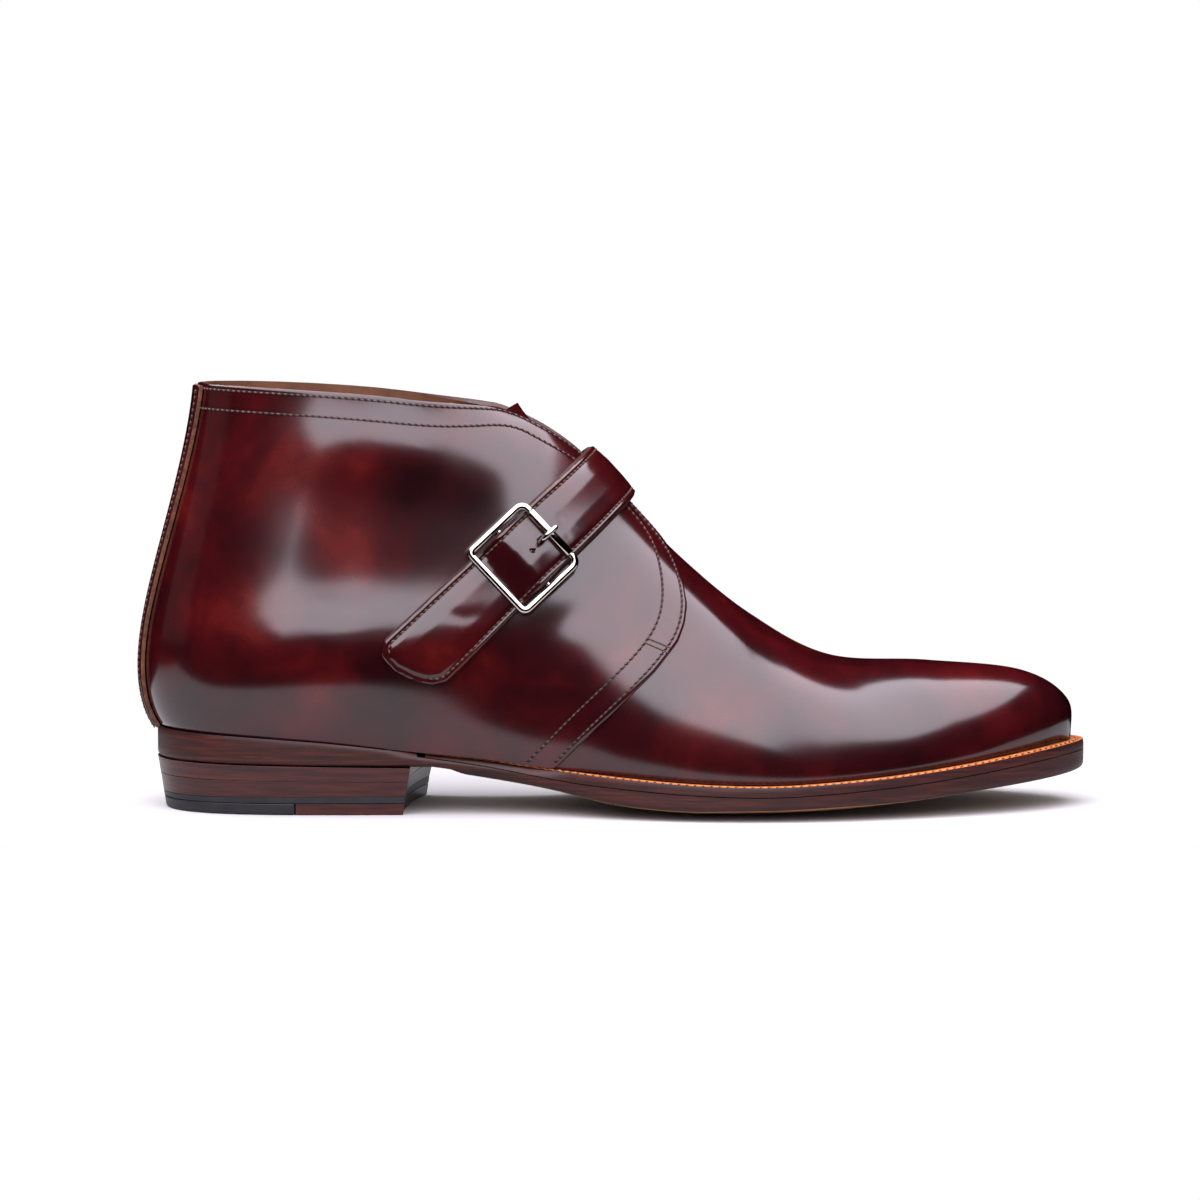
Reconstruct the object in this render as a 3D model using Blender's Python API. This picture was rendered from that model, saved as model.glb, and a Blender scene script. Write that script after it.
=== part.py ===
"""A man's right chukka boot that closes with one strap and a buckle.

Frame: +X runs to the toe, +Y to the inner (medial) side, +Z up. The origin is the middle of the heel's
flat bottom. Tables and sizes are in millimetres, with "along" counted from the rear of the heel seat;
to_metres() brings every point into the frame.
"""
import math

import bmesh
import bpy
import numpy as np

# ---------------------------------------------------------------- driving dimensions, millimetres
ORIGIN_ALONG = 42.0        # rear of the seat to the middle of the heel's bottom
GAP = 0.3                  # clearance between pieces that touch
VAMP_WALL = 1.9            # vamp leather with its lining
QUARTER_STEP = 1.1         # how far the quarters stand proud of the vamp
QUARTER_DEPTH = 1.4        # inner face of the quarters below the vamp's outer face
WELT_THICKNESS = 3.0
WELT_END_THICKNESS = 0.9
WELT_ENDS_AT = 5.15        # outline station where the welt meets the heel seat
WELT_FULL_AT = 7.3         # outline station where the welt has its full thickness
INSOLE_THICKNESS = 2.6
TONGUE_THICKNESS = 2.0
THROAT_RISE = 88.0         # the quarters' front edges turn into the facings here
SLIT_END_RISE = 104.0      # the opening between the facings stops here, under the strap

LATERAL, MEDIAL = -1, 1

# Sole outline, a row per section from the heel to the toe. along, centre and half give the edge in plan,
# margin is the ledge between that edge and the upper, seam is the height of the ledge, bottom the height
# of the sole's underside in the middle and cup how much higher it is at the edge.
OUTLINE_COLUMNS = ("along", "centre", "half", "margin", "seam", "bottom", "cup")
OUTLINE = {
    "heel rear":     (0.0, 0.0, 0.0, 2.0, 26.4, 16.7, 0.0),
    "heel corner":   (4.5, 0.0, 15.5, 2.0, 26.1, 16.6, 0.0),
    "heel curve":    (17.0, 0.0, 26.0, 2.0, 25.6, 16.4, 0.0),
    "heel side":     (36.0, 0.0, 30.8, 2.0, 24.6, 16.1, 0.0),
    "heel":          (58.0, -0.3, 31.2, 2.0, 22.9, 15.8, 0.0),
    "breast":        (82.0, -1.5, 29.6, 1.8, 20.3, 15.4, 0.0),
    "waist":         (106.0, -3.0, 27.6, 1.8, 17.8, 10.9, 1.2),
    "waist front":   (128.0, -3.4, 30.0, 2.6, 14.9, 7.0, 1.5),
    "joint":         (150.0, -2.6, 39.2, 4.4, 13.0, 2.4, 2.2),
    "outer ball":    (174.0, 0.0, 47.6, 5.0, 11.5, 0.0, 3.2),
    "ball":          (198.0, 2.4, 50.9, 5.0, 11.0, 0.0, 3.6),
    "inner ball":    (220.0, 4.0, 49.8, 5.0, 12.0, 0.8, 3.7),
    "toe root":      (242.0, 5.3, 44.6, 5.0, 13.7, 3.0, 2.6),
    "toe":           (262.0, 6.2, 37.2, 4.9, 15.9, 5.6, 1.9),
    "toe shoulder":  (277.0, 6.6, 29.6, 4.7, 17.9, 7.8, 1.1),
    "toe corner":    (287.4, 6.8, 22.3, 4.5, 19.3, 9.4, 0.5),
    "toe side":      (295.0, 7.0, 14.8, 4.3, 20.2, 10.6, 0.1),
    "toe front":     (300.1, 7.0, 7.3, 4.2, 20.7, 11.5, 0.0),
    "toe tip":       (301.8, 7.0, 0.0, 4.2, 20.9, 11.9, 0.0),
}

# Ribs of the upper, a row per rib, each standing on the outline row of the same number. A rib is one Bezier
# curve. At its foot it leaves the ledge with a handle lift long, that leans outwards from upright and sweeps
# forwards. It ends at the top point, where a handle reach long leaves it, turned in plan from straight ahead
# (0) through sideways (90) to straight back (180) and falling below the horizontal.
RIB_COLUMNS = ("sweep", "lean", "lift", "top_along", "top_out", "top_rise", "swing", "turn", "fall", "reach")
RIBS = {
    "heel rear":     (0.0, 39.0, 25.8, 14.8, 0.0, 137.3, 0.0, 180.0, 85.0, 42.5),
    "heel corner":   (0.0, 36.0, 25.8, 19.5, 13.6, 137.1, 0.0, 146.0, 85.0, 42.5),
    "heel curve":    (0.0, 30.0, 25.5, 33.0, 23.8, 136.6, 0.0, 118.0, 86.0, 42.5),
    "heel side":     (0.0, 25.0, 25.0, 51.0, 28.6, 135.7, 0.0, 98.0, 87.0, 42.0),
    "heel":          (0.0, 21.0, 26.0, 71.0, 29.2, 134.2, 0.0, 86.0, 87.0, 41.0),
    "breast":        (0.0, 18.0, 28.0, 90.0, 25.4, 131.9, 0.0, 60.0, 78.0, 31.5),
    "waist":         (0.0, 15.0, 30.0, 107.0, 15.5, 129.8, 0.0, 50.0, 49.0, 29.0),
    "waist front":   (0.0, 12.0, 26.0, 121.5, 0.0, 127.2, 0.0, 88.0, 12.5, 30.0),
    "joint":         (0.0, 10.0, 29.0, 132.0, 0.0, 120.4, 0.0, 90.0, 15.0, 23.3),
    "outer ball":    (0.0, 9.0, 30.0, 150.0, 0.0, 101.4, 0.6, 90.0, 9.5, 18.0),
    "ball":          (0.0, 9.0, 22.0, 170.0, 0.0, 80.4, 1.6, 90.0, 0.0, 23.0),
    "inner ball":    (0.0, 10.0, 16.0, 192.5, 0.0, 61.9, 3.0, 90.0, 0.0, 23.0),
    "toe root":      (0.0, 12.0, 13.0, 218.0, 0.0, 48.4, 4.5, 90.0, 0.0, 24.0),
    "toe":           (0.0, 14.0, 11.0, 250.0, 0.0, 46.4, 5.8, 90.0, 0.0, 22.0),
    "toe shoulder":  (15.0, 16.0, 9.5, 281.0, 0.0, 43.2, 6.6, 90.0, 0.0, 17.0),
    "toe corner":    (45.0, 14.0, 7.5, 296.3, 0.0, 34.0, 7.0, 90.0, 0.0, 12.0),
    "toe side":      (90.0, 0.0, 5.6, 297.6, 0.0, 20.9, 7.0, 90.0, 0.0, 6.6),
}

# Front edge of the quarters seen from the side: where it is along the foot at each height, from the sole
# up its bulge over the vamp, the throat and the facing to the collar.
QUARTER_EDGE = (
    (0.0, 112.0), (10.0, 124.0), (16.5, 131.0), (26.6, 140.6), (35.8, 150.1), (46.8, 161.2), (56.0, 168.6),
    (61.4, 170.7), (66.8, 171.4), (73.4, 170.2), (79.4, 167.7), (84.5, 164.4), (89.7, 160.0), (98.0, 152.6),
    (107.0, 144.2), (115.4, 135.6), (119.0, 131.0), (122.9, 124.8), (126.2, 118.4), (129.0, 111.0),
    (131.0, 103.0),
)


# ---------------------------------------------------------------- curves through the tables
def through_rows(table, at):
    """Values of the table's columns at row numbers between its rows, on a Catmull-Rom curve."""
    at = np.asarray(at, float)
    last = len(table) - 1
    row = np.clip(np.floor(at).astype(int), 0, last - 1)
    part = (at - row)[..., None]
    before, here = table[np.maximum(row - 1, 0)], table[row]
    there, after = table[row + 1], table[np.minimum(row + 2, last)]
    slope_here = np.where((row == 0)[..., None], there - here, (there - before) / 2)
    slope_there = np.where((row == last - 1)[..., None], there - here, (after - here) / 2)
    square, cube = part ** 2, part ** 3
    return ((2 * cube - 3 * square + 1) * here + (cube - 2 * square + part) * slope_here
            + (3 * square - 2 * cube) * there + (cube - square) * slope_there)


OUTLINE_ROWS = np.array(list(OUTLINE.values()))
RIB_ROWS = np.array(list(RIBS.values()))
EDGE_RISE, EDGE_ALONG = np.array(QUARTER_EDGE).T
TIP = len(OUTLINE_ROWS) - 1
LAST_RIB = len(RIB_ROWS) - 1
FIRST_RIDGE_RIB = list(RIBS).index("waist front")
CORNER_EASE, CORNER_REACH = 6.0, 1.6   # how softly the collar turns into the ridge, and over how many ribs


def outline_column(name, at):
    return through_rows(OUTLINE_ROWS, at)[..., OUTLINE_COLUMNS.index(name)]


def sole_edge(side, at):
    """Plan points of the sole's edge on one side; the ends curve round square to the centre line."""
    mirror = np.array([1.0, -1.0])
    plan = OUTLINE_ROWS[:, :2].copy()
    plan[:, 1] += side * OUTLINE_ROWS[:, 2]
    centre = np.array([0.0, OUTLINE_ROWS[-1, 1]])
    first = plan[1] * mirror
    final = (plan[-2] - centre) * mirror + centre
    extended = np.vstack([first, plan, final])
    return through_rows(extended, np.asarray(at, float) + 1)


def inset_edge(side, at, inset):
    """Plan points a distance inside the sole's edge."""
    at = np.asarray(at, float)
    step = 0.02
    tangent = sole_edge(side, np.minimum(at + step, TIP + 0.5)) - sole_edge(side, np.maximum(at - step, -0.5))
    tangent /= np.linalg.norm(tangent, axis=-1, keepdims=True)
    inward = side * np.stack([tangent[..., 1], -tangent[..., 0]], -1)
    return sole_edge(side, at) + inward * np.asarray(inset, float)[..., None]


def ledge_point(side, at, inset):
    """Point at the ledge's height, a distance inside the sole's edge."""
    plan = inset_edge(side, at, inset)
    return np.concatenate([plan, outline_column("seam", at)[..., None]], -1)


def foot_of_upper(side, at):
    point = ledge_point(side, at, outline_column("margin", at))
    point[..., 2] += GAP
    return point


# ---------------------------------------------------------------- the upper's surface
def degrees(value):
    return np.radians(value)


def upper(side, rib, up):
    """Points of the vamp-level surface: rib counts the ribs, up runs from the ledge (0) to the top (1)."""
    rib, up = np.broadcast_arrays(np.asarray(rib, float), np.asarray(up, float))
    row = through_rows(RIB_ROWS, rib)
    value = {name: row[..., number] for number, name in enumerate(RIB_COLUMNS)}
    foot = foot_of_upper(side, rib)
    step = 0.05
    forward = foot_of_upper(side, np.minimum(rib + step, TIP))
    forward = forward - foot_of_upper(side, np.maximum(rib - step, 0))
    forward[..., 1] = np.where(rib < step, side * np.abs(forward[..., 1]), forward[..., 1])
    forward /= np.linalg.norm(forward, axis=-1, keepdims=True)
    outward = side * np.stack([-forward[..., 1], forward[..., 0], np.zeros_like(rib)], -1)
    outward /= np.linalg.norm(outward, axis=-1, keepdims=True)
    lean, sweep = degrees(value["lean"])[..., None], degrees(value["sweep"])[..., None]
    rising = outward * np.sin(lean) + np.array([0.0, 0.0, 1.0]) * np.cos(lean)
    start = foot + value["lift"][..., None] * (rising * np.cos(sweep) + forward * np.sin(sweep))
    easing = CORNER_EASE * np.clip(1 - ((rib - FIRST_RIDGE_RIB) / CORNER_REACH) ** 2, 0, 1) ** 2
    beside = np.where(rib < FIRST_RIDGE_RIB, np.maximum(value["top_out"], 0.0), 0.0)
    top_out = np.where(easing > 0, (value["top_out"] + np.sqrt(value["top_out"] ** 2 + easing ** 2)) / 2, beside)
    top = np.stack([value["top_along"], value["swing"] + side * top_out, value["top_rise"]], -1)
    turn, fall = degrees(value["turn"]), degrees(value["fall"])
    leaving = np.stack([np.cos(turn) * np.cos(fall), side * np.sin(turn) * np.cos(fall), -np.sin(fall)], -1)
    end = top + value["reach"][..., None] * leaving
    t = up[..., None]
    return ((1 - t) ** 3 * foot + 3 * (1 - t) ** 2 * t * start + 3 * (1 - t) * t ** 2 * end + t ** 3 * top)


def upper_normal(side, rib, up):
    """Outward unit normals of the surface, kept in the middle plane on the back seam and on the ridge."""
    rib, up = np.broadcast_arrays(np.asarray(rib, float), np.asarray(up, float))
    step = 0.01
    along = upper(side, np.minimum(rib + step, LAST_RIB), up) - upper(side, np.maximum(rib - step, 0), up)
    rise = upper(side, rib, np.minimum(up + step, 1)) - upper(side, rib, np.maximum(up - step, 0))
    normal = -side * np.cross(along, rise)
    middle = (rib <= 0) | ((up >= 1) & (rib >= FIRST_RIDGE_RIB + CORNER_REACH))
    normal[..., 1] = np.where(middle, 0.0, normal[..., 1])
    return normal / np.linalg.norm(normal, axis=-1, keepdims=True)


def off_upper(side, rib, up, height):
    """Points a height above the vamp-level surface, or below it where height is negative."""
    height = np.broadcast_to(np.asarray(height, float), np.broadcast(rib, up).shape)
    return upper(side, rib, up) + upper_normal(side, rib, up) * height[..., None]


def rib_where(side, up, measure, low=0.0, high=float(LAST_RIB)):
    """Rib number, on the line of constant up, where measure(points) rises through zero; by halving."""
    low, high = np.full(np.shape(up), low), np.full(np.shape(up), high)
    for _ in range(40):
        middle = (low + high) / 2
        beyond = measure(upper(side, middle, up)) > 0
        low, high = np.where(beyond, low, middle), np.where(beyond, middle, high)
    return (low + high) / 2


def past_quarter_edge(points):
    return points[..., 0] - np.interp(points[..., 2], EDGE_RISE, EDGE_ALONG)


def quarter_edge_rib(side, up):
    return rib_where(side, up, past_quarter_edge)


# ---------------------------------------------------------------- meshes
MATERIALS = {
    "leather burgundy": ((0.085, 0.016, 0.013), 0.25, 0.0),
    "leather lining":   ((0.190, 0.080, 0.035), 0.60, 0.0),
    "leather sole":     ((0.120, 0.032, 0.020), 0.40, 0.0),
    "leather welt":     ((0.330, 0.120, 0.040), 0.60, 0.0),
    "rubber":           ((0.020, 0.020, 0.022), 0.55, 0.0),
    "nickel":           ((0.700, 0.690, 0.670), 0.12, 1.0),
}


def to_metres(points):
    return (np.asarray(points) - [ORIGIN_ALONG, 0.0, 0.0]) * 0.001


def sheet(bm, points):
    """Adds a grid of faces through an array of points, rows by columns by three."""
    rows, columns = points.shape[:2]
    made = bmesh.ops.create_grid(bm, x_segments=columns - 1, y_segments=rows - 1, size=1.0)["verts"]
    made.sort(key=lambda vert: (round(vert.co.y, 5), round(vert.co.x, 5)))
    for vert, place in zip(made, to_metres(points).reshape(-1, 3)):
        vert.co = place


def add_body(name, material_name, bm, smooth_angle=40.0):
    """Welds the sheets into one closed body with its faces out, and puts it in the scene."""
    bmesh.ops.remove_doubles(bm, verts=bm.verts, dist=2e-6)
    bmesh.ops.holes_fill(bm, edges=bm.edges, sides=0)
    bmesh.ops.recalc_face_normals(bm, faces=bm.faces)
    mesh = bpy.data.meshes.new(name)
    bm.to_mesh(mesh)
    bm.free()
    mesh.materials.append(bpy.data.materials[material_name])
    mesh.shade_smooth()
    mesh.set_sharp_from_angle(angle=math.radians(smooth_angle))
    body = bpy.data.objects.new(name, mesh)
    bpy.context.scene.collection.objects.link(body)
    return body


def make_materials():
    for name, (colour, roughness, metallic) in MATERIALS.items():
        material = bpy.data.materials.new(name)
        material.use_nodes = True
        shader = material.node_tree.nodes["Principled BSDF"]
        shader.inputs["Base Color"].default_value = (*colour, 1.0)
        shader.inputs["Roughness"].default_value = roughness
        shader.inputs["Metallic"].default_value = metallic


def closed_sections(bm, sections):
    """A body through closed cross-sections: rows of points whose last column meets the first."""
    sheet(bm, np.concatenate([sections, sections[:, :1]], 1))


def plate(bm, outer, inner):
    """A body between two grids of points of the same size, with a strip round its edge."""
    sheet(bm, outer)
    sheet(bm, inner)
    for line in (np.s_[0], np.s_[-1], np.s_[:, 0], np.s_[:, -1]):
        sheet(bm, np.stack([outer[line], inner[line]]))


# ---------------------------------------------------------------- the upper
QUARTER_COLUMNS, VAMP_COLUMNS = 14, 17
ROWS_TO_THROAT, ROWS_TO_SLIT, ROWS_TO_COLLAR = 11, 14, 18   # grid rows up the quarters' front edge
ROWS_TO_RIDGE = 4                                           # grid rows from the throat to the ridge


def up_where(side, rib, rise):
    """Share of each rib at which it is as high as rise, by halving."""
    low, high = np.zeros(np.shape(rise)), np.ones(np.shape(rise))
    for _ in range(30):
        middle = (low + high) / 2
        beyond = upper(side, rib, middle)[..., 2] > rise
        low, high = np.where(beyond, low, middle), np.where(beyond, middle, high)
    return (low + high) / 2


def ridge_rib(side, rise):
    """Rib whose top lies on the ridge as high as rise."""
    return rib_where(side, np.ones(np.shape(rise)), lambda points: rise - points[..., 2],
                     float(FIRST_RIDGE_RIB))


def spot(side, along, rise):
    """Rib and up of the place on one side that is seen from the side at this length and height."""
    along, rise = np.broadcast_arrays(np.asarray(along, float), np.asarray(rise, float))
    low = np.zeros(along.shape)
    high = np.where(rise < 47.0, float(LAST_RIB), ridge_rib(side, np.minimum(rise, 127.0)))
    for _ in range(26):
        rib = (low + high) / 2
        beyond = upper(side, rib, up_where(side, rib, rise))[..., 0] > along
        low, high = np.where(beyond, low, rib), np.where(beyond, rib, high)
    return rib, up_where(side, rib, rise)


def edge_rows(side):
    """rib, up and rise of each grid row where it ends on the quarters' front edge."""
    ends = np.array([0.0, 1.0])
    end_ribs = quarter_edge_rib(side, ends)
    foot, top = upper(side, end_ribs, ends)[:, 2]
    rise = np.interp(np.arange(ROWS_TO_COLLAR + 1), [0, ROWS_TO_THROAT, ROWS_TO_SLIT, ROWS_TO_COLLAR],
                     [foot, THROAT_RISE, SLIT_END_RISE, top])
    rib, up = spot(side, np.interp(rise, EDGE_RISE, EDGE_ALONG), rise)
    rib[[0, -1]], up[[0, -1]] = end_ribs, ends
    return rib, up, rise


def quarter_grid(side):
    """rib and up of the quarter's grid, rows near level from the ledge to the collar."""
    edge_rib, edge_up, edge_rise = edge_rows(side)
    part = np.linspace(0, 1, QUARTER_COLUMNS + 1)
    row = np.linspace(0, 1, ROWS_TO_COLLAR + 1)[:, None]
    rib = part * edge_rib[:, None]
    foot = upper(side, rib[0], 0.0)[:, 2]
    top = upper(side, rib[-1], 1.0)[:, 2]
    at_back = foot[0] + (top[0] - foot[0]) * row
    rise = at_back + (edge_rise[:, None] - at_back) * part
    rise = rise + (foot - rise[0]) * (1 - row) + (top - rise[-1]) * row
    up = up_where(side, rib, rise)
    up[0], up[-1], up[:, -1] = 0.0, 1.0, edge_up
    return rib, up


def vamp_grid(side):
    """rib and up of the vamp's grid: rows from the ledge to the ridge, columns towards the toe."""
    edge_rib, edge_up, _ = edge_rows(side)
    to_ridge = np.linspace(0, 1, ROWS_TO_RIDGE + 1)[1:]
    corner = ROWS_TO_THROAT
    start_up = np.append(edge_up[:corner + 1], edge_up[corner] + (1 - edge_up[corner]) * to_ridge)
    inward = (ridge_rib(side, THROAT_RISE) - edge_rib[corner]) * to_ridge
    start_rib = np.append(edge_rib[:corner + 1], edge_rib[corner] + inward)
    even_up = np.linspace(0, 1, len(start_up))
    part = np.linspace(0, 1, VAMP_COLUMNS + 1)
    rib = start_rib[:, None] + (LAST_RIB - start_rib)[:, None] * part
    return rib, even_up[:, None] + (start_up - even_up)[:, None] * (1 - part) ** 2


def throat_grid(side):
    """rib and up of the vamp between the facings: rows up to the slit, columns towards the ridge."""
    rows = slice(ROWS_TO_THROAT, ROWS_TO_SLIT + 1)
    edge_rib, edge_up, edge_rise = (values[rows, None] for values in edge_rows(side))
    part = np.linspace(0, 1, ROWS_TO_RIDGE + 1)
    return edge_rib + (ridge_rib(side, edge_rise) - edge_rib) * part, edge_up + (1 - edge_up) * part


def wall_point(side, rib, up, height):
    """Points of the wall a height off the surface, level with the ledge where the wall stands on it."""
    points = off_upper(side, rib, up, height)
    standing = (up <= 0) | (rib >= LAST_RIB)
    points[..., 2] = np.where(standing, upper(side, rib, up)[..., 2], points[..., 2])
    return points


def make_upper():
    bm = bmesh.new()
    above, below = (QUARTER_STEP, 0.0, -QUARTER_DEPTH), (0.0, -QUARTER_DEPTH, -VAMP_WALL)
    for side in (LATERAL, MEDIAL):
        quarter, vamp, throat = quarter_grid(side), vamp_grid(side), throat_grid(side)

        def wall(grid, height, part=np.s_[:, :]):
            return wall_point(side, grid[0][part], grid[1][part], height)

        def strip(grid, heights, part):
            sheet(bm, np.stack([wall(grid, height, part) for height in heights]))

        for grid, heights in ((quarter, above), (vamp, below), (throat, below)):
            sheet(bm, wall(grid, heights[0]))
            sheet(bm, wall(grid, heights[-1]))
        front_edge, facing = np.s_[:ROWS_TO_SLIT + 1, -1], np.s_[ROWS_TO_SLIT:, -1]
        strip(quarter, (QUARTER_STEP, 0.0), front_edge)
        strip(quarter, (-QUARTER_DEPTH, -VAMP_WALL), front_edge)
        for part in (np.s_[0], np.s_[-1], facing):
            strip(quarter, above, part)
        for part in (np.s_[0], np.s_[:, -1]):
            strip(vamp, below, part)
        strip(throat, below, np.s_[-1])
    return add_body("upper", "leather burgundy", bm)


# ---------------------------------------------------------------- the sole
SOLE_STATIONS = np.unique(np.concatenate([
    np.linspace(0, 3, 9), np.linspace(3, 14, 25), np.linspace(14, TIP, 12)]))
HEEL_JOINTS = ((16.4, 15.1), (11.1, 10.4), (5.2, 5.9), (3.5, 3.5), (0.0, 0.0))   # heights at rear and breast
HEEL_LENGTH = 84.0
BOTTOM_FLAT = 0.35         # share of the half width that is flat across


def waist_share(at):
    """One at the waist, where the sole's edge is bevelled, and nothing at the heel and the forepart."""
    return np.clip((at - 4.7) / 0.6, 0, 1) * np.clip((7.35 - at) / 0.7, 0, 1)


def edge_inset(at, height):
    """How far the edge lies inside the outline at a share of its height, from the bottom to the ledge."""
    fore = 0.7 * np.clip(1 - height / 0.15, 0, 1) ** 2 + 0.3 * np.clip((height - 0.9) / 0.1, 0, 1)
    waist = 2.2 * (2 * height - 1) ** 2
    return fore + (waist - fore) * waist_share(at)


def welt_thickness(at):
    grown = np.clip((at - WELT_ENDS_AT) / (WELT_FULL_AT - WELT_ENDS_AT), 0, 1)
    return WELT_END_THICKNESS + (WELT_THICKNESS - WELT_END_THICKNESS) * grown


def edge_bottom(at):
    return np.maximum(outline_column("bottom", at), 0.0) + outline_column("cup", at)


def outsole_top(at):
    in_welt = outline_column("seam", at) - welt_thickness(at) - GAP
    return np.where(at >= WELT_ENDS_AT - 0.01, in_welt, outline_column("seam", at))


def edge_points(side, at, heights):
    """Points down the sole's edge at shares of its height, stations by heights."""
    at, heights = np.broadcast_arrays(at[:, None], heights)
    plan = inset_edge(side, at, edge_inset(at, heights))
    low, high = edge_bottom(at), outline_column("seam", at)
    return np.concatenate([plan, (low + (high - low) * heights)[..., None]], -1)


def flat_on_heel(points):
    """Keeps the underside level with the top of the heel as far as the breast."""
    along = points[..., 0]
    seat = HEEL_JOINTS[0][0] + (HEEL_JOINTS[0][1] - HEEL_JOINTS[0][0]) * along / HEEL_LENGTH + GAP + 0.05
    points[..., 2] = np.maximum(points[..., 2], seat - 0.35 * np.maximum(along - 94.0, 0.0))


def across(first, last, shares):
    return first[:, None] + (last - first)[:, None] * shares[None, :, None]


def make_outsole():
    stations = np.sort(np.concatenate([SOLE_STATIONS, [WELT_ENDS_AT - 0.02, WELT_ENDS_AT]]))
    low, high = edge_bottom(stations), outline_column("seam", stations)
    top_share = (outsole_top(stations) - low) / (high - low)
    heights = np.array([0.0, 0.08, 0.2, 0.55, 1.0]) * top_share[:, None]
    edges = {side: edge_points(side, stations, heights) for side in (LATERAL, MEDIAL)}
    width = np.linspace(-1, 1, 9)
    bottom = across(edges[LATERAL][:, 0], edges[MEDIAL][:, 0], (width + 1) / 2)
    belly = np.clip((np.abs(width) - BOTTOM_FLAT) / (1 - BOTTOM_FLAT), 0, 1) ** 2
    middle = np.maximum(outline_column("bottom", stations), 0.0)
    bottom[..., 2] = middle[:, None] + outline_column("cup", stations)[:, None] * belly
    flat_on_heel(bottom)
    for edge, rim in ((edges[LATERAL], bottom[:, 0]), (edges[MEDIAL], bottom[:, -1])):
        edge[:, 0] = rim
        edge[:, 1, 2] = np.maximum(edge[:, 1, 2], rim[:, 2] + 0.3)
    top = across(edges[MEDIAL][:, -1], edges[LATERAL][:, -1], np.linspace(0, 1, 4))
    section = np.concatenate([bottom[:, :-1], edges[MEDIAL][:, :-1], top[:, :-1],
                              edges[LATERAL][:, :0:-1]], 1)
    bm = bmesh.new()
    closed_sections(bm, section)
    return add_body("outsole", "leather sole", bm)


def make_insole():
    stations = SOLE_STATIONS
    inset = outline_column("margin", stations) + VAMP_WALL + 0.5
    corners = []
    for side in (LATERAL, MEDIAL):
        bottom = ledge_point(side, stations, inset) + [0.0, 0.0, GAP]
        corners.append((bottom, bottom + [0.0, 0.0, INSOLE_THICKNESS]))
    shares = np.linspace(0, 1, 3)
    bottom = across(corners[0][0], corners[1][0], shares)
    top = across(corners[1][1], corners[0][1], shares)
    bm = bmesh.new()
    closed_sections(bm, np.concatenate([bottom, top], 1))
    return add_body("insole", "leather lining", bm)


# ---------------------------------------------------------------- the tongue
# Middle line of the tongue's outer face from under the vamp to the collar, with the radius it is bent to.
TONGUE_COLUMNS = ("along", "rise", "radius")
TONGUE = {
    "under the vamp":   (156.6, 89.6, 16.0),
    "slit end":         (149.0, 97.8, 13.0),
    "under the strap":  (141.3, 106.0, 10.8),
    "facings":          (133.6, 113.9, 10.4),
    "ankle":            (126.4, 120.4, 10.4),
    "collar":           (120.6, 125.8, 11.0),
    "top":              (117.2, 130.6, 12.0),
}
TONGUE_WRAP = 66.0         # degrees to each side of the middle


def make_tongue():
    rows = through_rows(np.array(list(TONGUE.values())), np.linspace(0, len(TONGUE) - 1, 12))
    line = np.stack([rows[:, 0], np.zeros(len(rows)), rows[:, 1]], -1)
    climb = np.gradient(line, axis=0)
    climb /= np.linalg.norm(climb, axis=-1, keepdims=True)
    outward = np.stack([climb[:, 2], climb[:, 1], -climb[:, 0]], -1)[:, None]
    radius = rows[:, 2][:, None, None]
    angle = degrees(np.linspace(-TONGUE_WRAP, TONGUE_WRAP, 12))[None, :, None]
    bent = outward * np.cos(angle) + np.array([0.0, 1.0, 0.0]) * np.sin(angle)
    centre = line[:, None] - outward * radius
    bm = bmesh.new()
    plate(bm, centre + bent * radius, centre + bent * (radius - TONGUE_THICKNESS))
    return add_body("tongue", "leather burgundy", bm)


# ---------------------------------------------------------------- the welt and the heel
WELT_REACH = 6.0           # how far the welt runs in under the upper and the insole
HEEL_TAPER = 0.16          # how much the heel draws in for each millimetre down
BREAST_STATIONS = {LATERAL: 5.05, MEDIAL: 5.3}
BREAST_HOLLOW = 2.0
TIP_STATION = 3.47         # outline station of the joint between the rubber and the leather of the tip


def make_welt():
    ring = []
    for side in (LATERAL, MEDIAL):
        stations = SOLE_STATIONS[SOLE_STATIONS > WELT_ENDS_AT + 0.2]
        stations = np.append(WELT_ENDS_AT + 0.1, stations)
        low, high = edge_bottom(stations), outline_column("seam", stations)
        bottom_share = 1 - welt_thickness(stations) / (high - low)
        shares = bottom_share[:, None] + (1 - bottom_share[:, None]) * np.array([0.0, 0.7, 1.0])
        outer = edge_points(side, stations, shares)
        inner = ledge_point(side, stations, outline_column("margin", stations) + WELT_REACH)[:, None]
        down = np.array([0.0, 0.0, 1.0]) * welt_thickness(stations)[:, None, None]
        ring.append(np.concatenate([outer, inner - [0.0, 0.0, 0.35], inner - down], 1))
    bm = bmesh.new()
    closed_sections(bm, np.concatenate([ring[0], ring[1][-2::-1]]))
    return add_body("welt", "leather welt", bm)


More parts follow.
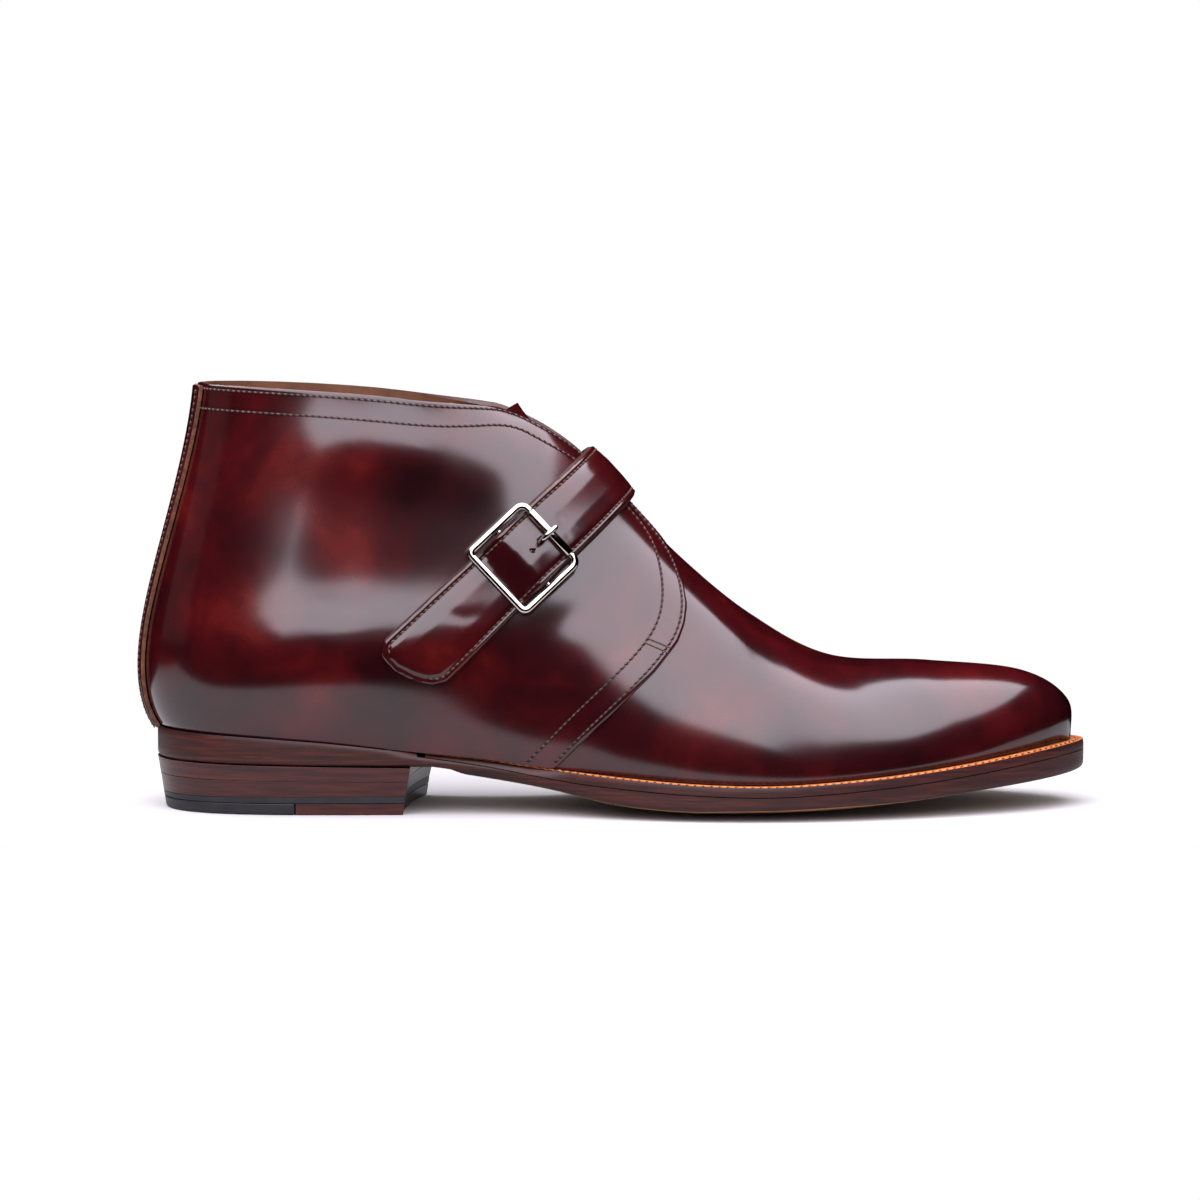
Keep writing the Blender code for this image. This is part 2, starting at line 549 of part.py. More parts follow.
def heel_layer(name, material, top_joint, bottom_joint, rear=0.0, to_breast=True):
    """One layer of the heel between two joints, from a station near the rear to the breast or the tip."""
    rims = []
    for joint, clearance in ((top_joint, -GAP if top_joint else 0.0), (bottom_joint, 0.0)):
        at_rear, at_breast = HEEL_JOINTS[joint]
        inset = HEEL_TAPER * (HEEL_JOINTS[0][0] - at_rear)
        front = BREAST_STATIONS if to_breast else {LATERAL: TIP_STATION, MEDIAL: TIP_STATION}
        sides = [inset_edge(side, np.linspace(rear, front[side], 17), np.full(17, inset))
                 for side in (LATERAL, MEDIAL)]
        sides[0] = sides[0][::-1]
        rim = np.concatenate(sides if rear else [sides[0], sides[1][1:]])
        if to_breast:
            part = np.linspace(0, 1, 9)[1:-1, None]
            breast = rim[-1] + (rim[0] - rim[-1]) * part
            breast[:, :1] -= BREAST_HOLLOW * 4 * part * (1 - part)
            rim = np.concatenate([rim, breast])
            rim[:, 0] -= 0.9 * inset * (rim[:, 0] > HEEL_LENGTH - 14)
        height = at_rear + (at_breast - at_rear) * rim[:, 0] / HEEL_LENGTH + clearance
        rims.append(np.column_stack([rim, height]))
    rims = np.array(rims)
    bm = bmesh.new()
    sheet(bm, np.concatenate([rims, rims[:, :1]], 1))
    return add_body(name, material, bm)


def make_heel():
    heel_layer("heel_lift_upper", "leather sole", 0, 1)
    heel_layer("heel_lift_lower", "leather sole", 1, 2)
    heel_layer("heel_cap_rubber", "rubber", 2, 3)
    heel_layer("heel_tip_rubber", "rubber", 3, 4, to_breast=False)
    heel_layer("heel_tip_leather", "leather sole", 3, 4, rear=TIP_STATION + 0.02)


# ---------------------------------------------------------------- the backstay
BACKSTAY_HALF_WIDTHS = (8.0, 9.0, 8.0, 8.3, 9.2, 10.5)      # evenly from the ledge to the collar
BACKSTAY_THICKNESS = 1.2


def make_backstay():
    up = np.linspace(0.015, 0.99, 16)
    half = np.interp(up, np.linspace(0, 1, len(BACKSTAY_HALF_WIDTHS)), BACKSTAY_HALF_WIDTHS)
    faces = []
    for height in (QUARTER_STEP + GAP + BACKSTAY_THICKNESS, QUARTER_STEP + GAP):
        columns = []
        for side, shares in ((LATERAL, (1, 0.67, 0.33, 0)), (MEDIAL, (0.33, 0.67, 1))):
            for share in shares:
                rib = rib_where(side, up, lambda points: side * points[..., 1] - half * share, 0.0, 4.0)
                columns.append(off_upper(side, rib if share else np.zeros(len(up)), up, height))
        faces.append(np.stack(columns, 1))
    bm = bmesh.new()
    plate(bm, *faces)
    return add_body("backstay", "leather burgundy", bm)


# ---------------------------------------------------------------- the strap
STRAP_START = (84.9, 50.2)     # middle of the tail seen from the side, along and rise
STRAP_SLOPE = 42.9             # degrees above level
STRAP_HALF_WIDTHS = (11.2, 10.2)    # seen from the side, at the tail and at the instep
STRAP_VIEW_LENGTH = 85.6       # from the tail's middle to the ridge, seen from the side
STRAP_THICKNESS = 2.4
STRAP_CLEAR = QUARTER_STEP + GAP + 0.5
STRAP_INNER_END = 26.0         # how far along it is sewn down on the inner quarter, seen from the side
# The tail's end is cut askew with round corners: place across the strap (-1 to 1) and how far it ends.
STRAP_TAIL = ((-1.0, -2.6), (-0.9, -5.2), (-0.66, -6.4), (-0.2, -6.3), (0.3, -4.4), (0.68, -2.0), (0.9, 0.4),
              (1.0, 3.2))
BUCKLE_AT = 46.7               # from the tail's middle to the buckle's middle, seen from the side
BUCKLE_HALF_LENGTH, BUCKLE_HALF_WIDTH = 11.65, 12.9        # to the middle of its bars
BUCKLE_CORNER = 2.6
BAR_RADIUS, HINGE_BAR_RADIUS = 1.25, 0.8
ROLLER_RADIUS, ROLLER_BORE, ROLLER_HALF_LENGTH = 1.4, 1.0, 9.6
BAR_SIDES = 10
FRAME_HEIGHT = 6.2             # the frame's middle plane above the vamp-level surface at its corners
HINGE_DEPTH = -1.5             # the hinge bar lies this far below the frame's middle plane
PRONG_RADIUS = 0.9
# Along and out, from under the strap, through its hole and over the roller.
PRONG_PATH = ((2.1, -2.3), (3.4, -2.5), (5.2, -2.3), (6.6, -1.4), (7.6, 0.1), (8.7, 1.6), (10.1, 2.5),
              (11.65, 2.7), (13.3, 2.3), (14.5, 1.3))
HOLE_AT, HOLE_HALF_LENGTH, HOLE_HALF_WIDTH = 6.3, 2.8, 1.35

STRAP_ALONG = np.array([np.cos(degrees(STRAP_SLOPE)), 0.0, np.sin(degrees(STRAP_SLOPE))])
STRAP_ACROSS = np.array([STRAP_ALONG[2], 0.0, -STRAP_ALONG[0]])


def strap_place(points):
    """How far along and across the strap points lie, seen from the side."""
    offset = points - [STRAP_START[0], 0.0, STRAP_START[1]]
    return offset @ STRAP_ALONG, offset @ STRAP_ACROSS


def strap_half_width(along):
    return np.interp(along, (0.0, STRAP_VIEW_LENGTH), STRAP_HALF_WIDTHS)


def strap_spot(side, share, along):
    """Rib and up where the strap's line at a share of its half width has come this far along."""
    aside = share * strap_half_width(along)
    return spot(side, STRAP_START[0] + along * STRAP_ALONG[0] + aside * STRAP_ACROSS[0],
                STRAP_START[1] + along * STRAP_ALONG[2] + aside * STRAP_ACROSS[2])


def strap_end(side, share):
    """How far along the strap's line at a share of its half width meets the ridge."""
    low, high = np.full(share.shape, 50.0), np.full(share.shape, 110.0)
    for _ in range(26):
        along = (low + high) / 2
        rise = STRAP_START[1] + along * STRAP_ALONG[2] + share * strap_half_width(along) * STRAP_ACROSS[2]
        ahead = STRAP_START[0] + along * STRAP_ALONG[0] + share * strap_half_width(along) * STRAP_ACROSS[0]
        beyond = ahead > upper(side, ridge_rib(side, rise), np.ones(share.shape))[..., 0]
        low, high = np.where(beyond, low, along), np.where(beyond, along, high)
    return along


def buckle_plane():
    """Middle of the buckle's plane and its directions: along the strap, across it and outwards."""
    corners = []
    for along in (BUCKLE_AT - BUCKLE_HALF_LENGTH, BUCKLE_AT + BUCKLE_HALF_LENGTH):
        for share in (-1.0, 1.0):
            corners.append(upper(LATERAL, *strap_spot(LATERAL, np.array([share]), np.array([along])))[0])
    near_high, near_low, far_high, far_low = corners
    along, across = far_high + far_low - near_high - near_low, near_high + far_high - near_low - far_low
    along /= np.linalg.norm(along)
    across -= along * (across @ along)
    across /= np.linalg.norm(across)
    outward = np.cross(along, across)
    return sum(corners) / 4 + outward * FRAME_HEIGHT, along, across, outward


def strap_height(side, points):
    """Height of the strap's underside off the surface: it climbs over the buckle's hinge bar."""
    if side == MEDIAL:
        return np.full(points.shape[:-1], STRAP_CLEAR)
    middle, along, _, outward = BUCKLE
    near = np.clip((points - middle) @ along / (BUCKLE_HALF_LENGTH - 1.8), -1, 1)
    climb = HINGE_DEPTH + HINGE_BAR_RADIUS + GAP + 0.15 - (points - middle) @ outward - STRAP_CLEAR
    return STRAP_CLEAR + climb * np.cos(near * np.pi / 2) ** 2


BUCKLE = buckle_plane()


def make_strap():
    share = np.array([-1.0, -0.9, -0.66, -0.22, 0.22, 0.66, 0.9, 1.0])
    grids = []
    for side, first, rows in ((LATERAL, np.interp(share, *np.array(STRAP_TAIL).T), 31),
                              (MEDIAL, np.full(len(share), STRAP_INNER_END), 13)):
        part = 1 - (1 - np.linspace(0, 1, rows)[:, None]) ** (1.25 if side == LATERAL else 1.6)
        along = first + (strap_end(side, share) - first) * part
        rib, up = strap_spot(side, np.broadcast_to(share, along.shape), along)
        rib[-1], up[-1] = ridge_rib(side, upper(side, rib[-1], up[-1])[:, 2]), 1.0
        height = strap_height(side, upper(side, rib, up))
        grids.append([off_upper(side, rib, up, height + more) for more in (STRAP_THICKNESS, 0.0)])
    bm = bmesh.new()
    plate(bm, *[np.concatenate([outer, inner[-2::-1]]) for outer, inner in zip(*grids)])
    return add_body("strap", "leather burgundy", bm)


def in_buckle(points):
    """Turns points given along, across and out from the buckle's middle into the boot's own frame."""
    return BUCKLE[0] + np.asarray(points) @ np.array(BUCKLE[1:])


def round_bar(name, path, radii, flat_axis, cyclic=False):
    """A round metal bar along a path in the buckle's frame that lies flat at right angles to flat_axis."""
    path, flat_axis = np.array(path, dtype=float), np.array(flat_axis, dtype=float)
    if cyclic:
        ahead, behind = np.roll(path, -1, 0), np.roll(path, 1, 0)
    else:
        ahead, behind = np.concatenate([path[1:], path[-1:]]), np.concatenate([path[:1], path[:-1]])
    sideways = np.cross(flat_axis, ahead - behind)
    sideways /= np.linalg.norm(sideways, axis=1)[:, None]
    turn = np.linspace(0, 2 * np.pi, BAR_SIDES + 1)[:-1, None]
    ring = np.cos(turn) * sideways[:, None] + np.sin(turn) * flat_axis
    rings = path[:, None] + ring * np.asarray(radii, dtype=float)[:, None, None]
    bm = bmesh.new()
    if cyclic:
        sheet(bm, in_buckle(np.concatenate([rings, rings[:, :1]], 1)[list(range(len(path))) + [0]]))
    else:
        closed_sections(bm, in_buckle(rings))
    return add_body(name, "nickel", bm)


def frame_path():
    """Rounded rectangle round the buckle, necked down where the roller turns, with its radii."""
    path, radii = [], []
    for along, across, first in ((1, 1, 0), (-1, 1, 90), (-1, -1, 180), (1, -1, 270)):
        for angle in degrees(first + np.linspace(0, 90, 5)):
            path.append((along * (BUCKLE_HALF_LENGTH - BUCKLE_CORNER) + BUCKLE_CORNER * np.cos(angle),
                         across * (BUCKLE_HALF_WIDTH - BUCKLE_CORNER) + BUCKLE_CORNER * np.sin(angle), 0.0))
            radii.append(BAR_RADIUS)
    neck = ROLLER_HALF_LENGTH + 0.1
    for across in (-neck, -neck + 0.25, neck - 0.25, neck):
        path.append((BUCKLE_HALF_LENGTH, across, 0.0))
        radii.append(BAR_RADIUS if abs(across) == neck else ROLLER_BORE - GAP)
    return path, radii


def combine(body, tool, operation):
    """A live Boolean of a helper body, which is hidden and drawn as wire."""
    change = body.modifiers.new("Boolean", "BOOLEAN")
    change.operation = operation
    change.object = tool
    tool.hide_render = True
    tool.display_type = "WIRE"


def make_buckle(strap):
    frame = round_bar("buckle_frame", *frame_path(), (0, 0, 1), cyclic=True)
    hinge_path = [(0, -BUCKLE_HALF_WIDTH, HINGE_DEPTH), (0, BUCKLE_HALF_WIDTH, HINGE_DEPTH)]
    hinge = round_bar("hinge_tool", hinge_path, [HINGE_BAR_RADIUS] * 2, (0, 0, 1))
    combine(frame, hinge, "UNION")
    turn = np.linspace(0, 2 * np.pi, 17)[:-1]
    rings = []
    for radius, across in ((ROLLER_RADIUS, -1), (ROLLER_RADIUS, 1), (ROLLER_BORE, 1), (ROLLER_BORE, -1)):
        rings.append(np.column_stack([BUCKLE_HALF_LENGTH + radius * np.cos(turn),
                                      np.full(len(turn), across * (ROLLER_HALF_LENGTH - GAP)),
                                      radius * np.sin(turn)]))
    rings = np.stack(rings + rings[:1])
    bm = bmesh.new()
    sheet(bm, in_buckle(np.concatenate([rings, rings[:, :1]], 1)))
    add_body("buckle_roller", "nickel", bm)
    round_bar("buckle_prong", [(along, 0.0, out) for along, out in PRONG_PATH],
              [PRONG_RADIUS] * (len(PRONG_PATH) - 1) + [0.7 * PRONG_RADIUS], (0, 1, 0))
    oval = np.column_stack([HOLE_AT + HOLE_HALF_LENGTH * np.cos(turn), HOLE_HALF_WIDTH * np.sin(turn)])
    ends = [np.column_stack([oval, np.full(len(turn), out)]) for out in (-9.0, 4.0)]
    bm = bmesh.new()
    closed_sections(bm, in_buckle(ends))
    combine(strap, add_body("hole_tool", "leather burgundy", bm), "DIFFERENCE")


def main():
    for old in list(bpy.data.objects):
        bpy.data.objects.remove(old)
    make_materials()
    make_upper()
    make_tongue()
    make_insole()
    make_outsole()
    make_welt()
    make_heel()
    make_backstay()
    make_buckle(make_strap())


main()
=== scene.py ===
# %% [markdown]
# # A right chukka boot with one strap and a buckle
# The boot is a men's welted ankle boot in burgundy calf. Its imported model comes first, as a frame that
# never changes. Every fine piece below is made in the same place and to the same sizes, then stands in for
# its plain solid. The lesson goes as a maker would: surface of the last, upper, strap and buckle, welt,
# sole and heel.

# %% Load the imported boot
import math

import bmesh
import bpy
import numpy as np
from mathutils import Matrix, Vector


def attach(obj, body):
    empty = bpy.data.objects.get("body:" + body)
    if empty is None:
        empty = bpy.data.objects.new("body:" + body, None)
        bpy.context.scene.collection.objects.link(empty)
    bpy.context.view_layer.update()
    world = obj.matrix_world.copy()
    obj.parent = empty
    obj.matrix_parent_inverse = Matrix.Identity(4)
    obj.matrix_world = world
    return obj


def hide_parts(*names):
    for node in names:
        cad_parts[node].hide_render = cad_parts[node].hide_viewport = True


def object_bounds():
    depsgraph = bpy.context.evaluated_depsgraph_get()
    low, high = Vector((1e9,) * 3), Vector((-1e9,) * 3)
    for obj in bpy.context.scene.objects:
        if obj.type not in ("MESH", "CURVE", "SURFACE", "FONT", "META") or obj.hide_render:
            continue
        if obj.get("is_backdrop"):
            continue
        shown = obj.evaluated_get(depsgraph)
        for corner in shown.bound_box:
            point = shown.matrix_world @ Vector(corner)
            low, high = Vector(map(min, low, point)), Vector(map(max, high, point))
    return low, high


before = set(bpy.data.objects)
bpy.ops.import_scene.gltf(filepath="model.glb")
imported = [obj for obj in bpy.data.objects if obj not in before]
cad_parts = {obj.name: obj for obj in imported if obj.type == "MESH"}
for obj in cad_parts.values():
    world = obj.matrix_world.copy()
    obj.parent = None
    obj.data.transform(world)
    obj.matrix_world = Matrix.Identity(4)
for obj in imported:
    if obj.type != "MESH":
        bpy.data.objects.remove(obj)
cad_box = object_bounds()
print("packed nodes:", sorted(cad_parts))
print("size in mm:", [round(1000 * (high - low), 1) for low, high in zip(*cad_box)])

# %% [markdown]
# ## The camera
# A long lens far away keeps the boot's side view nearly flat, as product pictures are made. A 144 mm lens
# at one and a half metres frames the boot with room around it. The camera looks down by about five degrees.

# %% Camera
LENS_MM, SENSOR_MM = 143.72, 36.0
CAMERA_PLACE, LOOKS_DOWN_BY = (0.1018, -1.550, 0.198), 4.849       # metres and degrees
MIDDLE_OF_BOOT = (0.1018, 0.0, 0.0665)
camera_data = bpy.data.cameras.new("camera")
camera_data.lens, camera_data.sensor_width = LENS_MM, SENSOR_MM
camera = bpy.data.objects.new("camera", camera_data)
camera.location = CAMERA_PLACE
camera.rotation_euler = (math.radians(90 - LOOKS_DOWN_BY), 0.0, 0.0)
bpy.context.scene.collection.objects.link(camera)
bpy.context.scene.camera = camera
print("camera distance:", round((camera.location - Vector(MIDDLE_OF_BOOT)).length, 3), "m")

# %% [markdown]
# ## Sizes of the boot
# A shoe is drawn on its last: an outline in plan, a bottom line in profile and ribs up the sides. The same
# short tables that size the solids are repeated here, in millimetres, so that the fine surface lies on
# them. "Along" counts from the rear of the heel, and -Y is the outer side.

# %% Tables of the outline and the ribs
ORIGIN_ALONG = 42.0                            # the frame's origin, counted from the rear of the heel
GAP = 0.3                                      # between neighbouring pieces
VAMP_WALL = 1.9                                # thickness of the upper's wall under the vamp's surface
QUARTER_STEP, QUARTER_DEPTH = 1.1, 1.4         # the quarter's face above and its back below that surface
THROAT_RISE, SLIT_END_RISE = 88.0, 104.0       # heights where the vamp ends and where the facings part
LATERAL, MEDIAL = -1, 1
SIDE_NAMES = {LATERAL: "outer", MEDIAL: "inner"}

# Plan and profile of the sole's edge, from the rear of the heel to the tip of the toe.
OUTLINE_COLUMNS = ("along", "centre", "half", "margin", "seam", "bottom", "cup")
OUTLINE = {
    "heel rear":     (0.0, 0.0, 0.0, 2.0, 26.4, 16.7, 0.0),
    "heel corner":   (4.5, 0.0, 15.5, 2.0, 26.1, 16.6, 0.0),
    "heel curve":    (17.0, 0.0, 26.0, 2.0, 25.6, 16.4, 0.0),
    "heel side":     (36.0, 0.0, 30.8, 2.0, 24.6, 16.1, 0.0),
    "heel":          (58.0, -0.3, 31.2, 2.0, 22.9, 15.8, 0.0),
    "breast":        (82.0, -1.5, 29.6, 1.8, 20.3, 15.4, 0.0),
    "waist":         (106.0, -3.0, 27.6, 1.8, 17.8, 10.9, 1.2),
    "waist front":   (128.0, -3.4, 30.0, 2.6, 14.9, 7.0, 1.5),
    "joint":         (150.0, -2.6, 39.2, 4.4, 13.0, 2.4, 2.2),
    "outer ball":    (174.0, 0.0, 47.6, 5.0, 11.5, 0.0, 3.2),
    "ball":          (198.0, 2.4, 50.9, 5.0, 11.0, 0.0, 3.6),
    "inner ball":    (220.0, 4.0, 49.8, 5.0, 12.0, 0.8, 3.7),
    "toe root":      (242.0, 5.3, 44.6, 5.0, 13.7, 3.0, 2.6),
    "toe":           (262.0, 6.2, 37.2, 4.9, 15.9, 5.6, 1.9),
    "toe shoulder":  (277.0, 6.6, 29.6, 4.7, 17.9, 7.8, 1.1),
    "toe corner":    (287.4, 6.8, 22.3, 4.5, 19.3, 9.4, 0.5),
    "toe side":      (295.0, 7.0, 14.8, 4.3, 20.2, 10.6, 0.1),
    "toe front":     (300.1, 7.0, 7.3, 4.2, 20.7, 11.5, 0.0),
    "toe tip":       (301.8, 7.0, 0.0, 4.2, 20.9, 11.9, 0.0),
}

# Each rib leaves the sole at an angle of lean and sweep, and reaches its top at an angle of turn and fall.
RIB_COLUMNS = ("sweep", "lean", "lift", "top_along", "top_out", "top_rise", "swing", "turn", "fall", "reach")
RIBS = {
    "heel rear":     (0.0, 39.0, 25.8, 14.8, 0.0, 137.3, 0.0, 180.0, 85.0, 42.5),
    "heel corner":   (0.0, 36.0, 25.8, 19.5, 13.6, 137.1, 0.0, 146.0, 85.0, 42.5),
    "heel curve":    (0.0, 30.0, 25.5, 33.0, 23.8, 136.6, 0.0, 118.0, 86.0, 42.5),
    "heel side":     (0.0, 25.0, 25.0, 51.0, 28.6, 135.7, 0.0, 98.0, 87.0, 42.0),
    "heel":          (0.0, 21.0, 26.0, 71.0, 29.2, 134.2, 0.0, 86.0, 87.0, 41.0),
    "breast":        (0.0, 18.0, 28.0, 90.0, 25.4, 131.9, 0.0, 60.0, 78.0, 31.5),
    "waist":         (0.0, 15.0, 30.0, 107.0, 15.5, 129.8, 0.0, 50.0, 49.0, 29.0),
    "waist front":   (0.0, 12.0, 26.0, 121.5, 0.0, 127.2, 0.0, 88.0, 12.5, 30.0),
    "joint":         (0.0, 10.0, 29.0, 132.0, 0.0, 120.4, 0.0, 90.0, 15.0, 23.3),
    "outer ball":    (0.0, 9.0, 30.0, 150.0, 0.0, 101.4, 0.6, 90.0, 9.5, 18.0),
    "ball":          (0.0, 9.0, 22.0, 170.0, 0.0, 80.4, 1.6, 90.0, 0.0, 23.0),
    "inner ball":    (0.0, 10.0, 16.0, 192.5, 0.0, 61.9, 3.0, 90.0, 0.0, 23.0),
    "toe root":      (0.0, 12.0, 13.0, 218.0, 0.0, 48.4, 4.5, 90.0, 0.0, 24.0),
    "toe":           (0.0, 14.0, 11.0, 250.0, 0.0, 46.4, 5.8, 90.0, 0.0, 22.0),
    "toe shoulder":  (15.0, 16.0, 9.5, 281.0, 0.0, 43.2, 6.6, 90.0, 0.0, 17.0),
    "toe corner":    (45.0, 14.0, 7.5, 296.3, 0.0, 34.0, 7.0, 90.0, 0.0, 12.0),
    "toe side":      (90.0, 0.0, 5.6, 297.6, 0.0, 20.9, 7.0, 90.0, 0.0, 6.6),
}

# Rise and along of the quarter's front edge, as it is seen from the side.
QUARTER_EDGE = (
    (0.0, 112.0), (10.0, 124.0), (16.5, 131.0), (26.6, 140.6), (35.8, 150.1), (46.8, 161.2), (56.0, 168.6),
    (61.4, 170.7), (66.8, 171.4), (73.4, 170.2), (79.4, 167.7), (84.5, 164.4), (89.7, 160.0), (98.0, 152.6),
    (107.0, 144.2), (115.4, 135.6), (119.0, 131.0), (122.9, 124.8), (126.2, 118.4), (129.0, 111.0),
    (131.0, 103.0),
)
print("ribs from", next(iter(RIBS)), "to", list(RIBS)[-1])

# %% [markdown]
# ## Smooth curves through short tables
# A maker's tables hold only a few rows. A Catmull-Rom curve passes through all of them and stays smooth in
# between, which keeps the tables short and easy to change.

# %% Curves through the tables
def through_rows(table, at):
    """Values of the table's columns at row numbers between its rows, on a Catmull-Rom curve."""
    at = np.asarray(at, float)
    last = len(table) - 1
    row = np.clip(np.floor(at).astype(int), 0, last - 1)
    part = (at - row)[..., None]
    before, here = table[np.maximum(row - 1, 0)], table[row]
    there, after = table[row + 1], table[np.minimum(row + 2, last)]
    slope_here = np.where((row == 0)[..., None], there - here, (there - before) / 2)
    slope_there = np.where((row == last - 1)[..., None], there - here, (after - here) / 2)
    square, cube = part ** 2, part ** 3
    return ((2 * cube - 3 * square + 1) * here + (cube - 2 * square + part) * slope_here
            + (3 * square - 2 * cube) * there + (cube - square) * slope_there)


OUTLINE_ROWS = np.array(list(OUTLINE.values()))
RIB_ROWS = np.array(list(RIBS.values()))
EDGE_RISE, EDGE_ALONG = np.array(QUARTER_EDGE).T
TIP = len(OUTLINE_ROWS) - 1
LAST_RIB = len(RIB_ROWS) - 1
FIRST_RIDGE_RIB = list(RIBS).index("waist front")
CORNER_EASE, CORNER_REACH = 6.0, 1.6   # how softly, and over how many ribs, the collar turns into the ridge


def outline_column(name, at):
    """One column of the outline table at stations along it."""
    return through_rows(OUTLINE_ROWS, at)[..., OUTLINE_COLUMNS.index(name)]


def sole_edge(side, at):
    """Plan points of the sole's edge on one side; the ends curve round square to the centre line."""
    mirror = np.array([1.0, -1.0])
    plan = OUTLINE_ROWS[:, :2].copy()
    plan[:, 1] += side * OUTLINE_ROWS[:, 2]
    centre = np.array([0.0, OUTLINE_ROWS[-1, 1]])
    first = plan[1] * mirror
    final = (plan[-2] - centre) * mirror + centre
    extended = np.vstack([first, plan, final])
    return through_rows(extended, np.asarray(at, float) + 1)


def inset_edge(side, at, inset):
    """Plan points a distance inside the sole's edge."""
    at = np.asarray(at, float)
    step = 0.02
    tangent = sole_edge(side, np.minimum(at + step, TIP + 0.5)) - sole_edge(side, np.maximum(at - step, -0.5))
    tangent /= np.linalg.norm(tangent, axis=-1, keepdims=True)
    inward = side * np.stack([tangent[..., 1], -tangent[..., 0]], -1)
    return sole_edge(side, at) + inward * np.asarray(inset, float)[..., None]


def ledge_point(side, at, inset):
    """Point at the ledge's height, a distance inside the sole's edge."""
    plan = inset_edge(side, at, inset)
    return np.concatenate([plan, outline_column("seam", at)[..., None]], -1)


def foot_of_upper(side, at):
    """Where the upper stands on the ledge."""
    point = ledge_point(side, at, outline_column("margin", at))
    point[..., 2] += GAP
    return point


print("outline rows:", len(OUTLINE_ROWS), "ribs:", len(RIB_ROWS))

# %% [markdown]
# ## The surface over the last
# Each rib is one Bezier curve from the ledge of the sole to the collar or to the ridge of the instep. "rib"
# moves along the foot and "up" climbs a rib. With the surface as a function, any line on the leather can be
# found by halving an interval, and pieces can be laid a chosen height above it.

# %% Surface of the upper
def degrees(value):
    """Lets an angle be written in degrees where numpy wants radians."""
    return np.radians(value)


def upper(side, rib, up):
    """Points of the vamp-level surface: rib counts the ribs, up runs from the ledge (0) to the top (1)."""
    rib, up = np.broadcast_arrays(np.asarray(rib, float), np.asarray(up, float))
    row = through_rows(RIB_ROWS, rib)
    value = {name: row[..., number] for number, name in enumerate(RIB_COLUMNS)}
    foot = foot_of_upper(side, rib)
    step = 0.05
    forward = foot_of_upper(side, np.minimum(rib + step, TIP))
    forward -= foot_of_upper(side, np.maximum(rib - step, 0))
    forward[..., 1] = np.where(rib < step, side * np.abs(forward[..., 1]), forward[..., 1])
    forward /= np.linalg.norm(forward, axis=-1, keepdims=True)
    outward = side * np.stack([-forward[..., 1], forward[..., 0], np.zeros_like(rib)], -1)
    outward /= np.linalg.norm(outward, axis=-1, keepdims=True)
    lean, sweep = degrees(value["lean"])[..., None], degrees(value["sweep"])[..., None]
    rising = outward * np.sin(lean) + np.array([0.0, 0.0, 1.0]) * np.cos(lean)
    start = foot + value["lift"][..., None] * (rising * np.cos(sweep) + forward * np.sin(sweep))
    easing = CORNER_EASE * np.clip(1 - ((rib - FIRST_RIDGE_RIB) / CORNER_REACH) ** 2, 0, 1) ** 2
    beside = np.where(rib < FIRST_RIDGE_RIB, np.maximum(value["top_out"], 0.0), 0.0)
    eased = (value["top_out"] + np.sqrt(value["top_out"] ** 2 + easing ** 2)) / 2
    top_out = np.where(easing > 0, eased, beside)
    top = np.stack([value["top_along"], value["swing"] + side * top_out, value["top_rise"]], -1)
    turn, fall = degrees(value["turn"]), degrees(value["fall"])
    leaving = np.stack([np.cos(turn) * np.cos(fall), side * np.sin(turn) * np.cos(fall), -np.sin(fall)], -1)
    end = top + value["reach"][..., None] * leaving
    t = up[..., None]
    return ((1 - t) ** 3 * foot + 3 * (1 - t) ** 2 * t * start + 3 * (1 - t) * t ** 2 * end + t ** 3 * top)


def upper_normal(side, rib, up):
    """Outward unit normals of the surface; on the back seam and the ridge they stay in the middle plane."""
    rib, up = np.broadcast_arrays(np.asarray(rib, float), np.asarray(up, float))
    step = 0.01
    along = upper(side, np.minimum(rib + step, LAST_RIB), up) - upper(side, np.maximum(rib - step, 0), up)
    rise = upper(side, rib, np.minimum(up + step, 1)) - upper(side, rib, np.maximum(up - step, 0))
    normal = -side * np.cross(along, rise)
    middle = (rib <= 0) | ((up >= 1) & (rib >= FIRST_RIDGE_RIB + CORNER_REACH))
    normal[..., 1] = np.where(middle, 0.0, normal[..., 1])
    return normal / np.linalg.norm(normal, axis=-1, keepdims=True)


def off_upper(side, rib, up, height):
    """Points a height above the vamp-level surface, or below it where height is negative."""
    height = np.broadcast_to(np.asarray(height, float), np.broadcast(rib, up).shape)
    return upper(side, rib, up) + upper_normal(side, rib, up) * height[..., None]


print("the upper's wall stands on the ledge at", np.round(upper(LATERAL, 0.0, 0.0), 1), "mm at the rear")

# %% [markdown]
# ### Finding places on the surface
# A line on the leather is known by how it looks from the side or by its height. Each of these functions
# halves an interval until it has found the rib, or the share of a rib, where the surface meets that line.

# %% Finding places on the surface
def rib_where(side, up, measure, low=0.0, high=float(LAST_RIB)):
    """Rib number, on the line of constant up, where measure(points) rises through zero; by halving."""
    low, high = np.full(np.shape(up), low), np.full(np.shape(up), high)
    for _ in range(40):
        middle = (low + high) / 2
        beyond = measure(upper(side, middle, up)) > 0
        low, high = np.where(beyond, low, middle), np.where(beyond, middle, high)
    return (low + high) / 2


def past_quarter_edge(points):
    """How far points lie in front of the quarter's cut edge, seen from the side."""
    return points[..., 0] - np.interp(points[..., 2], EDGE_RISE, EDGE_ALONG)


def quarter_edge_rib(side, up):
    """Rib where the quarter's cut edge crosses the line of constant up."""
    return rib_where(side, up, past_quarter_edge)


TOE_TOP_RISE, RIDGE_TOP_RISE = 47.0, 127.0     # heights of the toe's top and of the ridge's upper end


